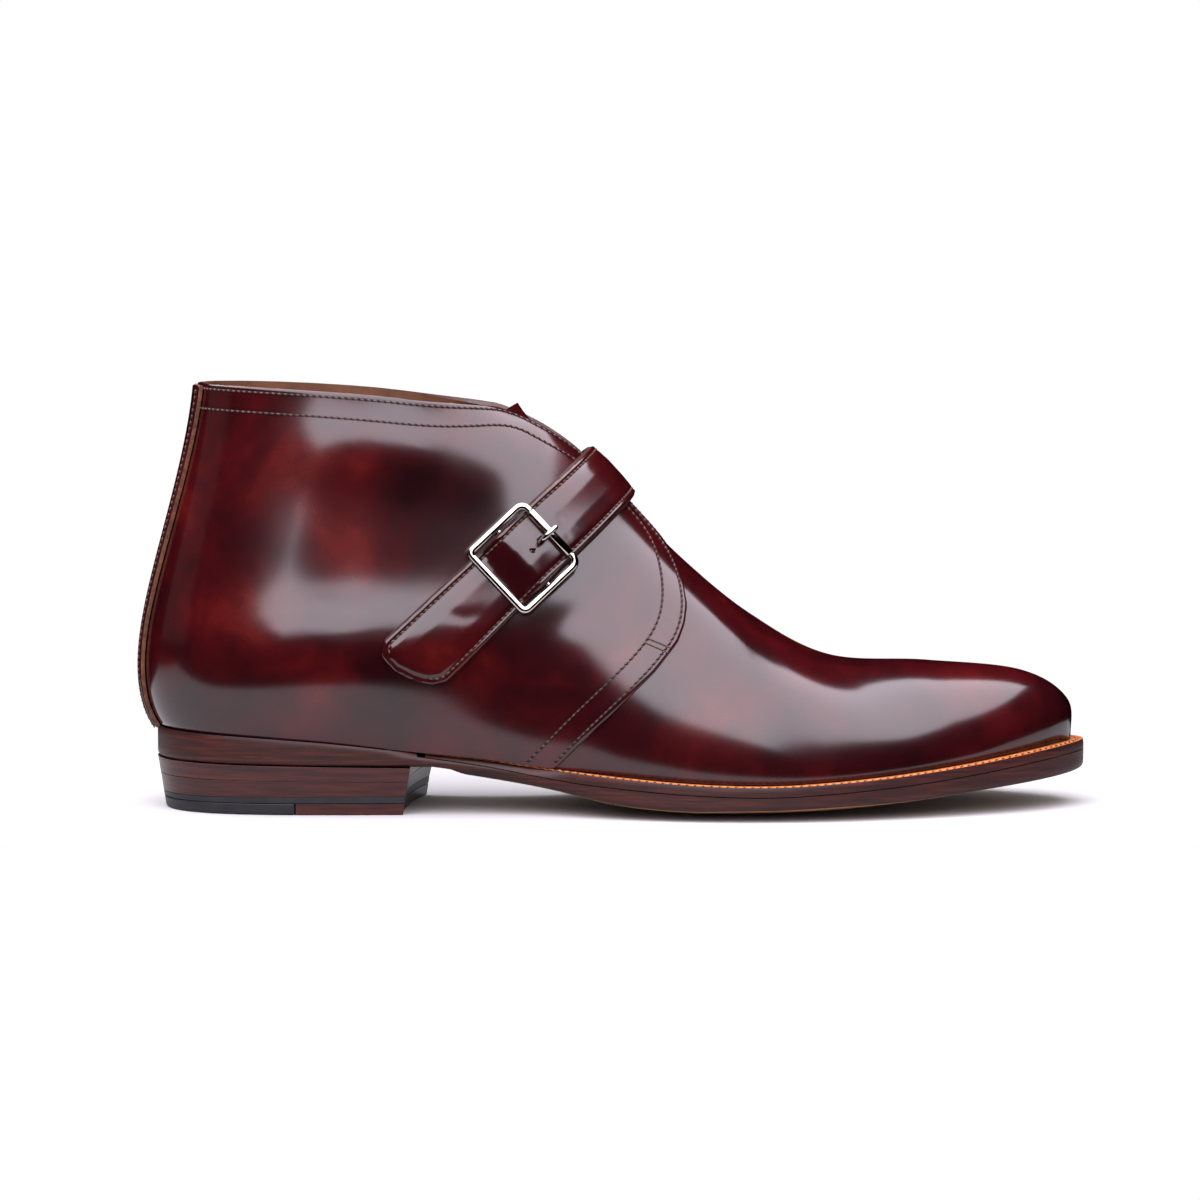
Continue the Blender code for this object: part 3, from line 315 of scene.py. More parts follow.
def up_where(side, rib, rise):
    """Share of each rib at which it is as high as rise."""
    low, high = np.zeros(np.shape(rise)), np.ones(np.shape(rise))
    for _ in range(30):
        middle = (low + high) / 2
        beyond = upper(side, rib, middle)[..., 2] > rise
        low, high = np.where(beyond, low, middle), np.where(beyond, middle, high)
    return (low + high) / 2


def ridge_rib(side, rise):
    """Rib whose top lies on the ridge as high as rise."""
    return rib_where(side, np.ones(np.shape(rise)), lambda points: rise - points[..., 2],
                     float(FIRST_RIDGE_RIB))


def spot(side, along, rise):
    """Rib and up of the place on one side that is seen from the side at this length and height."""
    along, rise = np.broadcast_arrays(np.asarray(along, float), np.asarray(rise, float))
    low = np.zeros(along.shape)
    high = np.where(rise < TOE_TOP_RISE, float(LAST_RIB), ridge_rib(side, np.minimum(rise, RIDGE_TOP_RISE)))
    for _ in range(26):
        rib = (low + high) / 2
        beyond = upper(side, rib, up_where(side, rib, rise))[..., 0] > along
        low, high = np.where(beyond, low, rib), np.where(beyond, rib, high)
    return rib, up_where(side, rib, rise)


print("collar height:", round(float(upper(LATERAL, 0.0, 1.0)[2]), 1), "mm")

# %% [markdown]
# ## Small tools for meshes
# Blender's grid operator makes a sheet of faces, and each of its points is then put in its place on the
# boot. Sheets that share an edge are welded, so that a piece becomes one closed body. Every object stays at
# the origin with its place in its mesh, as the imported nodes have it.

# %% Mesh tools
WELD, DEGENERATE = 2e-6, 1e-7       # metres


def to_metres(points):
    """Places given in the tables' millimetres, in the frame's metres."""
    return (np.asarray(points) - [ORIGIN_ALONG, 0.0, 0.0]) * 0.001


def sheet(bm, points, slot=0):
    """Adds a grid of faces through an array of points, rows by columns by three."""
    rows, columns = points.shape[:2]
    start = len(bm.faces)
    made = bmesh.ops.create_grid(bm, x_segments=columns - 1, y_segments=rows - 1, size=1.0)["verts"]
    made.sort(key=lambda vert: (round(vert.co.y, 5), round(vert.co.x, 5)))
    for vert, place in zip(made, to_metres(points).reshape(-1, 3)):
        vert.co = place
    bm.faces.ensure_lookup_table()
    for face in bm.faces[start:]:
        face.material_index = slot
        face.smooth = True
    return made


def ring_sections(bm, sections, slot=0):
    """Faces through closed cross-sections, the last column welded to the first."""
    return sheet(bm, np.concatenate([sections, sections[:, :1]], 1), slot)


def new_object(name, bm, materials):
    """Turns a bmesh into an object of the scene."""
    mesh = bpy.data.meshes.new(name)
    bm.to_mesh(mesh)
    bm.free()
    for material in materials:
        mesh.materials.append(bpy.data.materials[material])
    made = bpy.data.objects.new(name, mesh)
    bpy.context.scene.collection.objects.link(made)
    return made


def close_up(bm):
    """Welds the sheets, closes the flat ends and turns the faces out."""
    bmesh.ops.remove_doubles(bm, verts=bm.verts, dist=WELD)
    bmesh.ops.dissolve_degenerate(bm, dist=DEGENERATE, edges=bm.edges)
    bmesh.ops.holes_fill(bm, edges=bm.edges, sides=0)
    bmesh.ops.recalc_face_normals(bm, faces=bm.faces)


def finish_piece(name, bm, materials, node, sharp=40.0):
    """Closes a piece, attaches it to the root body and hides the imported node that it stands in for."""
    close_up(bm)
    open_edges = sum(1 for edge in bm.edges if len(edge.link_faces) != 2)
    piece = new_object(name, bm, materials)
    piece.data.shade_smooth()
    piece.data.set_sharp_from_angle(angle=math.radians(sharp))
    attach(piece, "root")
    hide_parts(node)
    print(f"{name}: {len(piece.data.polygons)} faces, {open_edges} open edges")
    return piece


print("points closer than", WELD * 1e6, "micrometres are welded")

# %% [markdown]
# ## Materials
# Each material is named for what the real one is. Hex colours are written as a picture editor shows them,
# and one function turns them linear. One more adds a node with its settings and links. Pattern scales come
# from real sizes: a noise of scale 1000 / 16 makes clouds about 16 mm wide, because the scene is in metres.

# %% Helpers for materials
def linear(hex_colour):
    """Linear colour of an sRGB hex value."""
    values = [int(hex_colour[place:place + 2], 16) / 255 for place in (1, 3, 5)]
    return (*[v / 12.92 if v <= 0.04045 else ((v + 0.055) / 1.055) ** 2.4 for v in values], 1.0)


def add_node(tree, kind, links=None, stops=(), values=None, **settings):
    """Adds a node: settings are its properties or named sockets, values its numbered sockets, links what
    feeds each socket, and stops the places and hex colours of a colour ramp."""
    node = tree.nodes.new(kind)
    for name, value in settings.items():
        if hasattr(node, name):
            setattr(node, name, value)
        else:
            node.inputs[name.replace("_", " ")].default_value = value
    for number, value in (values or {}).items():
        node.inputs[number].default_value = value
    for name, output in (links or {}).items():
        tree.links.new(output, node.inputs[name])
    for number, (place, colour) in enumerate(stops):
        element = node.color_ramp.elements[number] if number < 2 else node.color_ramp.elements.new(place)
        element.position, element.color = place, linear(colour)
    return node


def new_material(name):
    """A material's node tree and its shader."""
    material = bpy.data.materials.new(name)
    material.use_nodes = True
    return material.node_tree, material.node_tree.nodes["Principled BSDF"]


print("a middle grey is", [round(value, 3) for value in linear("#808080")[:3]], "when linear")

# %% [markdown]
# ### Burgundy calf with a hand-made patina
# The upper is box calf, dyed red and then clouded by hand with dark polish, under a clear wax finish. So
# the colour is a slow mottle of wine red, with a few redder places where the dye shows, and the gloss comes
# from a coat. Fine pores and a shallow valley along each row of stitches are bumps of real depth in
# millimetres.

# %% Burgundy calf
REDDER_PLACES = (     # along, across, rise and radius in millimetres
    (46.0, -36.0, 104.0, 24.0), (62.0, -38.0, 86.0, 22.0), (36.0, -33.0, 68.0, 16.0),
    (58.0, -38.0, 40.0, 15.0), (88.0, -38.0, 52.0, 14.0), (148.0, -40.0, 46.0, 15.0),
    (186.0, -42.0, 33.0, 18.0), (262.0, -26.0, 38.0, 15.0), (228.0, -14.0, 44.0, 14.0),
    (100.0, -30.0, 124.0, 14.0), (30.0, 30.0, 90.0, 26.0), (90.0, 32.0, 60.0, 24.0),
    (150.0, 36.0, 50.0, 22.0), (215.0, 34.0, 34.0, 22.0),
)
DARKER_PLACES = (
    (100.0, -34.0, 96.0, 24.0), (74.0, -38.0, 32.0, 26.0), (196.0, -40.0, 26.0, 22.0),
    (292.0, 4.0, 30.0, 20.0), (150.0, -42.0, 22.0, 24.0), (14.0, -20.0, 34.0, 20.0),
    (84.0, -32.0, 108.0, 14.0), (240.0, -34.0, 20.0, 20.0), (120.0, 34.0, 90.0, 28.0),
    (60.0, 36.0, 30.0, 30.0), (240.0, 30.0, 24.0, 26.0),
)
WANDER = 18.0             # the clouds' outlines wander over this many millimetres
VALLEY_HALF_WIDTH, VALLEY_DEPTH = 1.3, 0.22


def clouds(tree, vector, places):
    """Soft round places added up, each falling from one in its middle to nothing at its radius."""
    total = None
    for along, across, rise, radius in places:
        shift = WANDER / 2      # the noise that makes them wander is a half on average
        centre = [(value + shift) / 1000 for value in (along - ORIGIN_ALONG, across, rise)]
        gap = add_node(tree, "ShaderNodeVectorMath", {0: vector}, values={1: centre}, operation="DISTANCE")
        near = add_node(tree, "ShaderNodeMapRange", {"Value": gap.outputs["Value"]}, From_Min=radius / 1000,
                        From_Max=0.0, interpolation_type="SMOOTHSTEP").outputs["Result"]
        if total is not None:
            near = add_node(tree, "ShaderNodeMath", {0: total, 1: near}, operation="ADD").outputs["Value"]
        total = near
    return total


def burgundy_calf(name, seam_rows):
    """The polished calf, with a valley at each of these distances from the cut edge."""
    tree, shader = new_material(name)
    place = add_node(tree, "ShaderNodeTexCoord").outputs["Object"]

    def weighed_sum(terms, start=0.0):
        """Each output times its share, all added to start."""
        total = None
        for output, share in terms:
            total = add_node(tree, "ShaderNodeMath", {0: output, **({2: total} if total else {})},
                             values={1: share} if total else {1: share, 2: start},
                             operation="MULTIPLY_ADD").outputs["Value"]
        return total

    swirl = add_node(tree, "ShaderNodeTexNoise", {"Vector": place}, Scale=1000 / 16, Detail=2.0)
    wandered = add_node(tree, "ShaderNodeVectorMath", {0: swirl.outputs["Color"], 2: place},
                        values={1: [WANDER / 1000] * 3}, operation="MULTIPLY_ADD").outputs["Vector"]
    mottle = add_node(tree, "ShaderNodeTexNoise", {"Vector": place}, Scale=1000 / 34, Detail=3.0,
                      Roughness=0.55, Distortion=0.4)
    small_mottle = add_node(tree, "ShaderNodeTexNoise", {"Vector": place}, Scale=1000 / 9, Detail=4.0,
                            Roughness=0.6)
    tone = weighed_sum(((mottle.outputs["Fac"], 0.75), (small_mottle.outputs["Fac"], 0.22),
                        (clouds(tree, wandered, REDDER_PLACES), 0.16),
                        (clouds(tree, wandered, DARKER_PLACES), -0.16)), start=-0.02)
    dye = add_node(tree, "ShaderNodeValToRGB", {"Fac": tone}, stops=(
        (0.22, "#120204"), (0.40, "#1e0305"), (0.54, "#2c0406"), (0.70, "#3f0a08"), (0.90, "#5a1a11")))
    tree.links.new(dye.outputs["Color"], shader.inputs["Base Color"])

    pores = add_node(tree, "ShaderNodeTexNoise", {"Vector": place}, Scale=1000 / 0.8, Detail=3.0,
                     Roughness=0.65)
    creasing = add_node(tree, "ShaderNodeTexNoise", {"Vector": place}, Scale=1000 / 4.5, Detail=2.0)
    relief = [(pores.outputs["Fac"], 0.024), (creasing.outputs["Fac"], 0.05)]
    for row in seam_rows:
        from_edge = add_node(tree, "ShaderNodeAttribute", attribute_name="seam").outputs["Fac"]
        beside = add_node(tree, "ShaderNodeMath", {0: from_edge}, values={1: row}, operation="SUBTRACT")
        beside = add_node(tree, "ShaderNodeMath", {0: beside.outputs["Value"]}, operation="ABSOLUTE")
        valley = add_node(tree, "ShaderNodeMapRange", {"Value": beside.outputs["Value"]},
                          From_Max=VALLEY_HALF_WIDTH, interpolation_type="SMOOTHSTEP")
        relief.append((valley.outputs["Result"], VALLEY_DEPTH))
    bump = add_node(tree, "ShaderNodeBump", {"Height": weighed_sum(relief)}, Strength=1.0, Distance=0.001)
    tree.links.new(bump.outputs["Normal"], shader.inputs["Normal"])
    shader.inputs["Roughness"].default_value = 0.5
    shader.inputs["Specular IOR Level"].default_value = 0.0
    shader.inputs["Coat Weight"].default_value = 1.0
    shader.inputs["Coat Roughness"].default_value = 0.15
    print(name, "has", len(tree.nodes), "nodes")


QUARTER_ROWS, STRAP_ROW = (1.6, 8.0), 1.6       # rows of stitches, in millimetres from the cut edge
burgundy_calf("burgundy calf", seam_rows=QUARTER_ROWS)
burgundy_calf("burgundy strap calf", seam_rows=(STRAP_ROW,))

# %% [markdown]
# ### Plainer leathers, thread and rubber
# Most other surfaces are leather too, so one function makes them from two or three browns, a mottle and a
# fine grain, each with its size in millimetres. The edge of the sole and the heel are stacked leather,
# stained and waxed: their layers run along the foot, so their noise is stretched flat.

# %% Plainer leathers
def leather(name, stops, mottle_mm, roughness, flatten=1.0, grain_mm=0.5, depth_mm=0.03, coat=0.0):
    """A leather whose colour follows one noise, made this many times finer upwards than along."""
    tree, shader = new_material(name)
    place = add_node(tree, "ShaderNodeTexCoord").outputs["Object"]
    flat = add_node(tree, "ShaderNodeMapping", {"Vector": place}, Scale=(1.0, 1.0, flatten)).outputs["Vector"]
    mottle = add_node(tree, "ShaderNodeTexNoise", {"Vector": flat}, Scale=1000 / mottle_mm, Detail=5.0,
                      Roughness=0.62)
    stain = add_node(tree, "ShaderNodeValToRGB", {"Fac": mottle.outputs["Fac"]}, stops=stops)
    tree.links.new(stain.outputs["Color"], shader.inputs["Base Color"])
    grain = add_node(tree, "ShaderNodeTexNoise", {"Vector": flat}, Scale=1000 / grain_mm, Detail=2.0)
    bump = add_node(tree, "ShaderNodeBump", {"Height": grain.outputs["Fac"]}, Strength=1.0,
                    Distance=depth_mm / 1000)
    tree.links.new(bump.outputs["Normal"], shader.inputs["Normal"])
    shader.inputs["Roughness"].default_value = roughness
    shader.inputs["Specular IOR Level"].default_value = 0.25
    shader.inputs["Coat Weight"].default_value = coat
    shader.inputs["Coat Roughness"].default_value = 0.25


# Cut edges are painted dark brown, which draws a thin satin line round each piece.
leather("painted edge", [(0.3, "#1a0c09"), (0.7, "#341c14")], 3, 0.42, depth_mm=0.02)
# Vegetable-tanned lining and sock: matt, warm brown, clouded by wear.
leather("lining calf", [(0.3, "#3c2213"), (0.7, "#583520")], 12, 0.6)
leather("insole sock", [(0.3, "#64391d"), (0.7, "#80502c")], 14, 0.55, depth_mm=0.02)
# Waxed linen thread catches a little light on each stitch, and the dark dot in the needle's hole is painted
# shade.
leather("waxed thread", [(0.3, "#301c19"), (0.7, "#4f3833")], 1.2, 0.5, grain_mm=0.25)
leather("brown waxed thread", [(0.3, "#351f18"), (0.7, "#55392c")], 1.2, 0.5, grain_mm=0.25)
leather("welt thread", [(0.3, "#8c5530"), (0.7, "#b57c4c")], 1.2, 0.6, grain_mm=0.25)
# painted shade: a near-black dot for the dark inside of each stitch's hole
leather("needle hole", [(0.3, "#0b0504"), (0.7, "#160a08")], 1.0, 0.9, grain_mm=0.3, depth_mm=0.01)
# The backstay's edge is left raw and fibrous. The welt's top is raw too, so it is orange-brown.
leather("raw cut edge", [(0.3, "#2e1a10"), (0.7, "#5c3722")], 2.0, 0.75, grain_mm=0.4, depth_mm=0.10)
leather("welt top", [(0.3, "#7a3c1a"), (0.7, "#a8602e")], 3.0, 0.6, depth_mm=0.08)
# Stained, ironed and waxed edges show their layers as fine dark streaks with a low sheen.
leather("stained sole edge", [(0.30, "#150403"), (0.50, "#250805"), (0.72, "#3c120b")], 18, 0.5, flatten=22.0,
        grain_mm=9, coat=0.04)
leather("stacked heel", [(0.30, "#180504"), (0.50, "#2a0a07"), (0.72, "#3d130d")], 22, 0.44, flatten=18.0,
        grain_mm=10, coat=0.2)
# The underside is oak-tanned leather, lightly polished. The rubber is moulded, nearly black and matt.
leather("sole bottom", [(0.3, "#8a5836"), (0.7, "#a8754c")], 25, 0.5, grain_mm=0.8, coat=0.2)
leather("heel rubber", [(0.3, "#141416"), (0.7, "#1e1e21")], 6, 0.5, grain_mm=0.8)
print("materials so far:", len([material for material in bpy.data.materials if material.use_nodes]))

# %% [markdown]
# ### Polished nickel
# The buckle is steel, plated with nickel and buffed. It mirrors the room in a slightly warm grey. The
# buffing leaves waves only a hundredth of a millimetre deep, which bend the highlights a little.

# %% Nickel
tree, nickel = new_material("polished nickel")
place = add_node(tree, "ShaderNodeTexCoord").outputs["Object"]
haze = add_node(tree, "ShaderNodeTexNoise", {"Vector": place}, Scale=1000 / 5, Detail=2.0)
plating = add_node(tree, "ShaderNodeValToRGB", {"Fac": haze.outputs["Fac"]},
                   stops=((0.3, "#aca79f"), (0.7, "#c2bdb6")))
tree.links.new(plating.outputs["Color"], nickel.inputs["Base Color"])
waves = add_node(tree, "ShaderNodeTexNoise", {"Vector": place}, Scale=1000 / 1.5, Detail=2.0)
polish = add_node(tree, "ShaderNodeBump", {"Height": waves.outputs["Fac"]}, Strength=1.0, Distance=0.000008)
tree.links.new(polish.outputs["Normal"], nickel.inputs["Normal"])
nickel.inputs["Metallic"].default_value = 1.0
nickel.inputs["Roughness"].default_value = 0.09
print("nickel has", len(tree.nodes), "nodes")

# %% [markdown]
# ## The upper
# The real upper is a vamp in one piece, and two quarters sewn over it, with a rounded front edge each. The
# quarters stand 1.1 mm proud of the vamp. All of it is one closed wall here, outer skin, cut edges and
# lining, with grid lines close together at the edges so that they can be rounded.

# %% Grids of the quarters and the vamp
ROWS_TO_THROAT, ROWS_TO_SLIT, ROWS_TO_COLLAR = 46, 56, 84       # grid rows up the quarter's front edge
ROWS_TO_RIDGE = 16                                              # from there over to the ridge
NEAR_EDGE = np.array([0.0, 0.12, 0.32, 0.62, 1.0, 1.6, 2.4, 3.4, 4.6])       # millimetres from a cut edge
QUARTER_LENGTH, QUARTER_RISE = 118.0, 108.0                                  # the quarter's rough size
QUARTER_PART = 1 - np.append(NEAR_EDGE / QUARTER_LENGTH,
                             np.linspace(NEAR_EDGE[-1] / QUARTER_LENGTH, 1, 66)[1:])[::-1]
QUARTER_ROW = np.append(np.linspace(0, 1 - NEAR_EDGE[-1] / QUARTER_RISE, ROWS_TO_COLLAR - 7),
                        1 - NEAR_EDGE[-2::-1] / QUARTER_RISE)
VAMP_PART = np.linspace(0, 1, 121) ** 0.93
EDGE_RADIUS = 0.7


def edge_rows(side):
    """rib, up and rise of each grid row where it ends on the quarters' front edge."""
    ends = np.array([0.0, 1.0])
    end_ribs = quarter_edge_rib(side, ends)
    foot, top = upper(side, end_ribs, ends)[:, 2]
    joints = QUARTER_ROW[[0, ROWS_TO_THROAT, ROWS_TO_SLIT, ROWS_TO_COLLAR]]
    rise = np.interp(QUARTER_ROW, joints, [foot, THROAT_RISE, SLIT_END_RISE, top])
    rib, up = spot(side, np.interp(rise, EDGE_RISE, EDGE_ALONG), rise)
    rib[[0, -1]], up[[0, -1]] = end_ribs, ends
    return rib, up, rise


edges = {side: edge_rows(side) for side in (LATERAL, MEDIAL)}


def quarter_grid(side):
    """Ribs and ups of the quarter, from the sole to the collar and from the back seam to the front edge."""
    edge_rib, edge_up, edge_rise = edges[side]
    part, row = QUARTER_PART, QUARTER_ROW[:, None]
    rib = part * edge_rib[:, None]
    foot = upper(side, rib[0], 0.0)[:, 2]
    top = upper(side, rib[-1], 1.0)[:, 2]
    rise = foot[0] + (top[0] - foot[0]) * row
    rise = rise + (edge_rise[:, None] - foot[0] - (top[0] - foot[0]) * row) * part
    rise = rise + (foot - rise[0]) * (1 - row) + (top - rise[-1]) * row
    up = up_where(side, rib, rise)
    up[0], up[-1], up[:, -1] = 0.0, 1.0, edge_up
    return rib, up


def vamp_grid(side):
    """Ribs and ups of the vamp, from under the quarter's edge to the toe."""
    edge_rib, edge_up, _ = edges[side]
    to_ridge = np.linspace(0, 1, ROWS_TO_RIDGE + 1)[1:]
    corner = ROWS_TO_THROAT
    start_up = np.append(edge_up[:corner + 1], edge_up[corner] + (1 - edge_up[corner]) * to_ridge)
    inward = (ridge_rib(side, THROAT_RISE) - edge_rib[corner]) * to_ridge
    start_rib = np.append(edge_rib[:corner + 1], edge_rib[corner] + inward)
    even_up = np.linspace(0, 1, len(start_up))
    rib = start_rib[:, None] + (LAST_RIB - start_rib)[:, None] * VAMP_PART
    return rib, even_up[:, None] + (start_up - even_up)[:, None] * (1 - VAMP_PART) ** 2


def throat_grid(side):
    """Ribs and ups between the quarter's edge and the ridge, where the vamp runs on as the throat."""
    rows = slice(ROWS_TO_THROAT, ROWS_TO_SLIT + 1)
    edge_rib, edge_up, edge_rise = (values[rows, None] for values in edges[side])
    part = np.linspace(0, 1, ROWS_TO_RIDGE + 1)
    return edge_rib + (ridge_rib(side, edge_rise) - edge_rib) * part, edge_up + (1 - edge_up) * part


quarters, vamps, throats = ({side: make(side) for side in (LATERAL, MEDIAL)}
                            for make in (quarter_grid, vamp_grid, throat_grid))
print("quarter grid:", quarters[LATERAL][0].shape, "vamp grid:", vamps[LATERAL][0].shape)

# %% [markdown]
# ### Distances and folds
# Seams and folds are measured from the cut edge of the quarter. One field holds that distance in
# millimetres at every point of the mesh, so the rows of stitches, the rounded edge and the valleys of the
# seams all follow it. Soft folds are listed as lines seen from the side, each with a width and a
# depth.

# %% Distance from the cut edge, and the folds
from mathutils.kdtree import KDTree

FOLDS = (     # side, width, depth (below zero is a trough), then along and rise of the points of its line
    (LATERAL, 16.0, 3.2, (20, 51), (40, 52), (66, 53), (92, 54), (116, 56)),
    (LATERAL, 12.0, 1.5, (50, 117), (70, 118), (92, 116), (110, 110), (126, 101)),
    (MEDIAL, 16.0, 1.6, (10, 50), (34, 52), (60, 53), (88, 54), (116, 56)),
    (MEDIAL, 12.0, 1.0, (34, 117), (62, 118), (88, 116), (108, 109), (128, 97)),
    (LATERAL, 2.2, -0.08, (52, 69), (62, 67), (72, 68)),
    (LATERAL, 1.6, -0.06, (50, 64), (60, 62), (70, 62)),
    (LATERAL, 1.5, -0.05, (56, 59), (66, 58), (78, 59)),
    (LATERAL, 5.0, -0.30, (128, 60), (140, 66), (150, 76)),
    (LATERAL, 2.5, -0.14, (92, 66), (100, 64), (108, 65)),
    (LATERAL, 2.0, 0.10, (178, 66), (186, 60), (192, 52)),
    (MEDIAL, 3.0, -0.20, (60, 70), (76, 67), (92, 70)),
    (MEDIAL, 5.0, -0.30, (108, 52), (122, 56), (138, 66)),
    (MEDIAL, 3.0, -0.18, (176, 44), (190, 46), (202, 50)),
)


def tree_of(points):
    """A tree that finds the nearest of these points."""
    found = KDTree(len(points))
    for number, point in enumerate(points):
        found.insert(point, number)
    found.balance()
    return found


def distance_to(found, points):
    """Distance from each point to the nearest one in the tree."""
    flat = points.reshape(-1, 3)
    return np.array([found.find(point)[2] for point in flat]).reshape(points.shape[:-1])


def resampled(points, pitch):
    """Points along a line at an even pitch, with the pitch stretched a little to end on its last point."""
    length = np.append(0, np.cumsum(np.linalg.norm(np.diff(points, axis=0), axis=1)))
    at = np.linspace(0, length[-1], max(2, int(round(length[-1] / pitch)) + 1))
    return np.stack([np.interp(at, length, points[:, column]) for column in range(points.shape[1])], 1)


def cut_edge(side):
    """The quarter's cut edge from the sole, up its front and back along the collar, as rib and up."""
    edge_rib, edge_up, _ = edges[side]
    collar = np.linspace(edge_rib[-1], 0.0, 160)[1:]
    return np.append(edge_rib, collar), np.append(edge_up, np.ones(len(collar)))


def folds_height(side, points):
    """How far the folds lift or sink the leather at points."""
    height = np.zeros(points.shape[:-1])
    for fold_side, width, depth, *line in FOLDS:
        if fold_side != side:
            continue
        line = resampled(np.array(line, float), min(3.0, width / 2))
        taper = np.sin(np.linspace(0, np.pi, len(line))) ** 0.5
        near = [share * np.exp(-((points[..., 0] - x) ** 2 + (points[..., 2] - z) ** 2) / width ** 2)
                for (x, z), share in zip(line, taper)]
        height += depth * np.max(near, axis=0)
    return height


def rounded(distance, radius=EDGE_RADIUS):
    """How much a rounded edge has dropped at a distance from the cut."""
    inside = np.clip(distance, 0, radius)
    return radius - np.sqrt(np.maximum(radius ** 2 - (radius - inside) ** 2, 0))


cut_trees = {side: tree_of(resampled(upper(side, *cut_edge(side)), 0.25)) for side in (LATERAL, MEDIAL)}
print("length of the cut edge:", round(len(resampled(upper(LATERAL, *cut_edge(LATERAL)), 1.0)) / 10, 1), "cm")

# %% [markdown]
# ### Body of the upper
# Each quarter, half of the vamp and half of the throat is one sheet outside and one inside. Narrow strips
# along the cut edges join them. Blender's Solidify would make the wall too, but here it has steps and
# rounded edges, so the sheets are laid at their own heights off the last's surface.

# %% Body of the upper
def wall_point(side, rib, up, height):
    """Points of the wall a height off the surface, level with the ledge where the wall stands on it."""
    points = off_upper(side, rib, up, height)
    standing = (up <= 0) | (rib >= LAST_RIB)
    points[..., 2] = np.where(standing, upper(side, rib, up)[..., 2], points[..., 2])
    return points


FAR_FROM_SEAMS = 90.0


def make_upper():
    """The whole upper as one closed wall."""
    bm = bmesh.new()
    edge_layer = bm.verts.layers.float.new("seam")
    above, below = (QUARTER_STEP, 0.0, -QUARTER_DEPTH), (0.0, -QUARTER_DEPTH, -VAMP_WALL)
    for side in (LATERAL, MEDIAL):
        quarter, vamp, throat = quarters[side], vamps[side], throats[side]
        place = upper(side, *quarter)
        inside = distance_to(cut_trees[side], place)
        top = QUARTER_STEP + folds_height(side, place) - rounded(inside)

        def wall(grid, height, part=np.s_[:, :]):
            if np.ndim(height):
                height = height[part]
            return wall_point(side, grid[0][part], grid[1][part], height)

        vamp_top = folds_height(side, upper(side, *vamp))
        for grid, outer, inner in ((quarter, top, above[-1]), (vamp, vamp_top, below[-1]),
                                   (throat, 0.0, below[-1])):
            distances = inside if grid is quarter else np.full(grid[0].shape, FAR_FROM_SEAMS)
            for vert, value in zip(sheet(bm, wall(grid, outer)), distances.ravel()):
                vert[edge_layer] = value
            sheet(bm, wall(grid, inner), slot=2)

        def strip(grid, heights, part, slot=1):
            sheet(bm, np.stack([wall(grid, height, part) for height in heights]), slot)

        front_edge, facing = np.s_[:ROWS_TO_SLIT + 1, -1], np.s_[ROWS_TO_SLIT:, -1]
        strip(quarter, (top, 0.0), front_edge)
        strip(quarter, (-QUARTER_DEPTH, -VAMP_WALL), front_edge, 2)
        for part in (np.s_[0], np.s_[-1], facing):
            strip(quarter, (top, 0.0, -QUARTER_DEPTH), part)
        for part in (np.s_[0], np.s_[:, -1]):
            strip(vamp, below, part, 2)
        strip(throat, below, np.s_[-1], 2)
    return finish_piece("upper_leather", bm, ("burgundy calf", "painted edge", "lining calf"), "upper",
                        sharp=35.0)


make_upper()

# %% [markdown]
# ### Rows of stitches
# A lock stitch is a short length of waxed thread that dips into the needle's hole at each end. One small
# ball, stretched to the stitch and laid a little askew, gives the thread, and a slanting dark one is painted
# shade in the hole.
# The same two shapes are repeated along the row. There are about 12 stitches to the inch, so the pitch is 2
# mm.

# %% Sewing
HOLE_SLANT = -42.0      # degrees from the row: the needle has a slanting edge
HOLE_LIFT, THREAD_LIFT = 0.12, 0.1


def sew(name, points, normals, material, slot="burgundy_leather", pitch=2.05, thickness=0.78, length=1.6,
        askew=-10.0, hole=1.5):
    """One row of stitches along points with the leather's outward normals; askew is in degrees."""
    line = resampled(np.concatenate([points, normals], 1), pitch)
    place, outward = to_metres(line[:, :3]), line[:, 3:]
    bm = bmesh.new()

    def ball(at, ahead, out, sizes, slot_number):
        ahead = (ahead - out * ahead.dot(out)).normalized()
        turned = Matrix((ahead, out.cross(ahead), out)).transposed().to_4x4()
        size = Matrix.Diagonal((*[value / 2000 for value in sizes], 1.0))
        first = len(bm.faces)
        bmesh.ops.create_icosphere(bm, subdivisions=1, radius=1.0,
                                   matrix=Matrix.Translation(at) @ turned @ size)
        bm.faces.ensure_lookup_table()
        for face in bm.faces[first:]:
            face.smooth, face.material_index = True, slot_number

    for number in range(len(place) - 1):
        out = Vector(outward[number] + outward[number + 1]).normalized()
        ahead = Vector(place[number + 1] - place[number]).normalized()
        middle = Vector((place[number] + place[number + 1]) / 2)
        slanted = Matrix.Rotation(math.radians(HOLE_SLANT), 3, out) @ ahead
        # a slanting dark ball just above the leather: painted shade in the needle's hole
        ball(Vector(place[number]) + out * HOLE_LIFT / 1000, slanted, out, (hole, 0.45 * hole, 0.5), 1)
        ahead.rotate(Matrix.Rotation(math.radians(askew), 3, out))
        ball(middle + out * THREAD_LIFT / 1000, ahead, out, (length, thickness, thickness), 0)
    row = new_object(name, bm, (material, "needle hole"))
    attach(row, "root")
    print(f"{name}: {len(place) - 1} stitches")

# %% [markdown]
# ### Two rows round each quarter
# The rows keep their distance from the cut edge all the way from the sole to the back seam. The edge is
# moved inwards, points that came too near another stretch of it are left out, and the corner at the throat
# is eased.

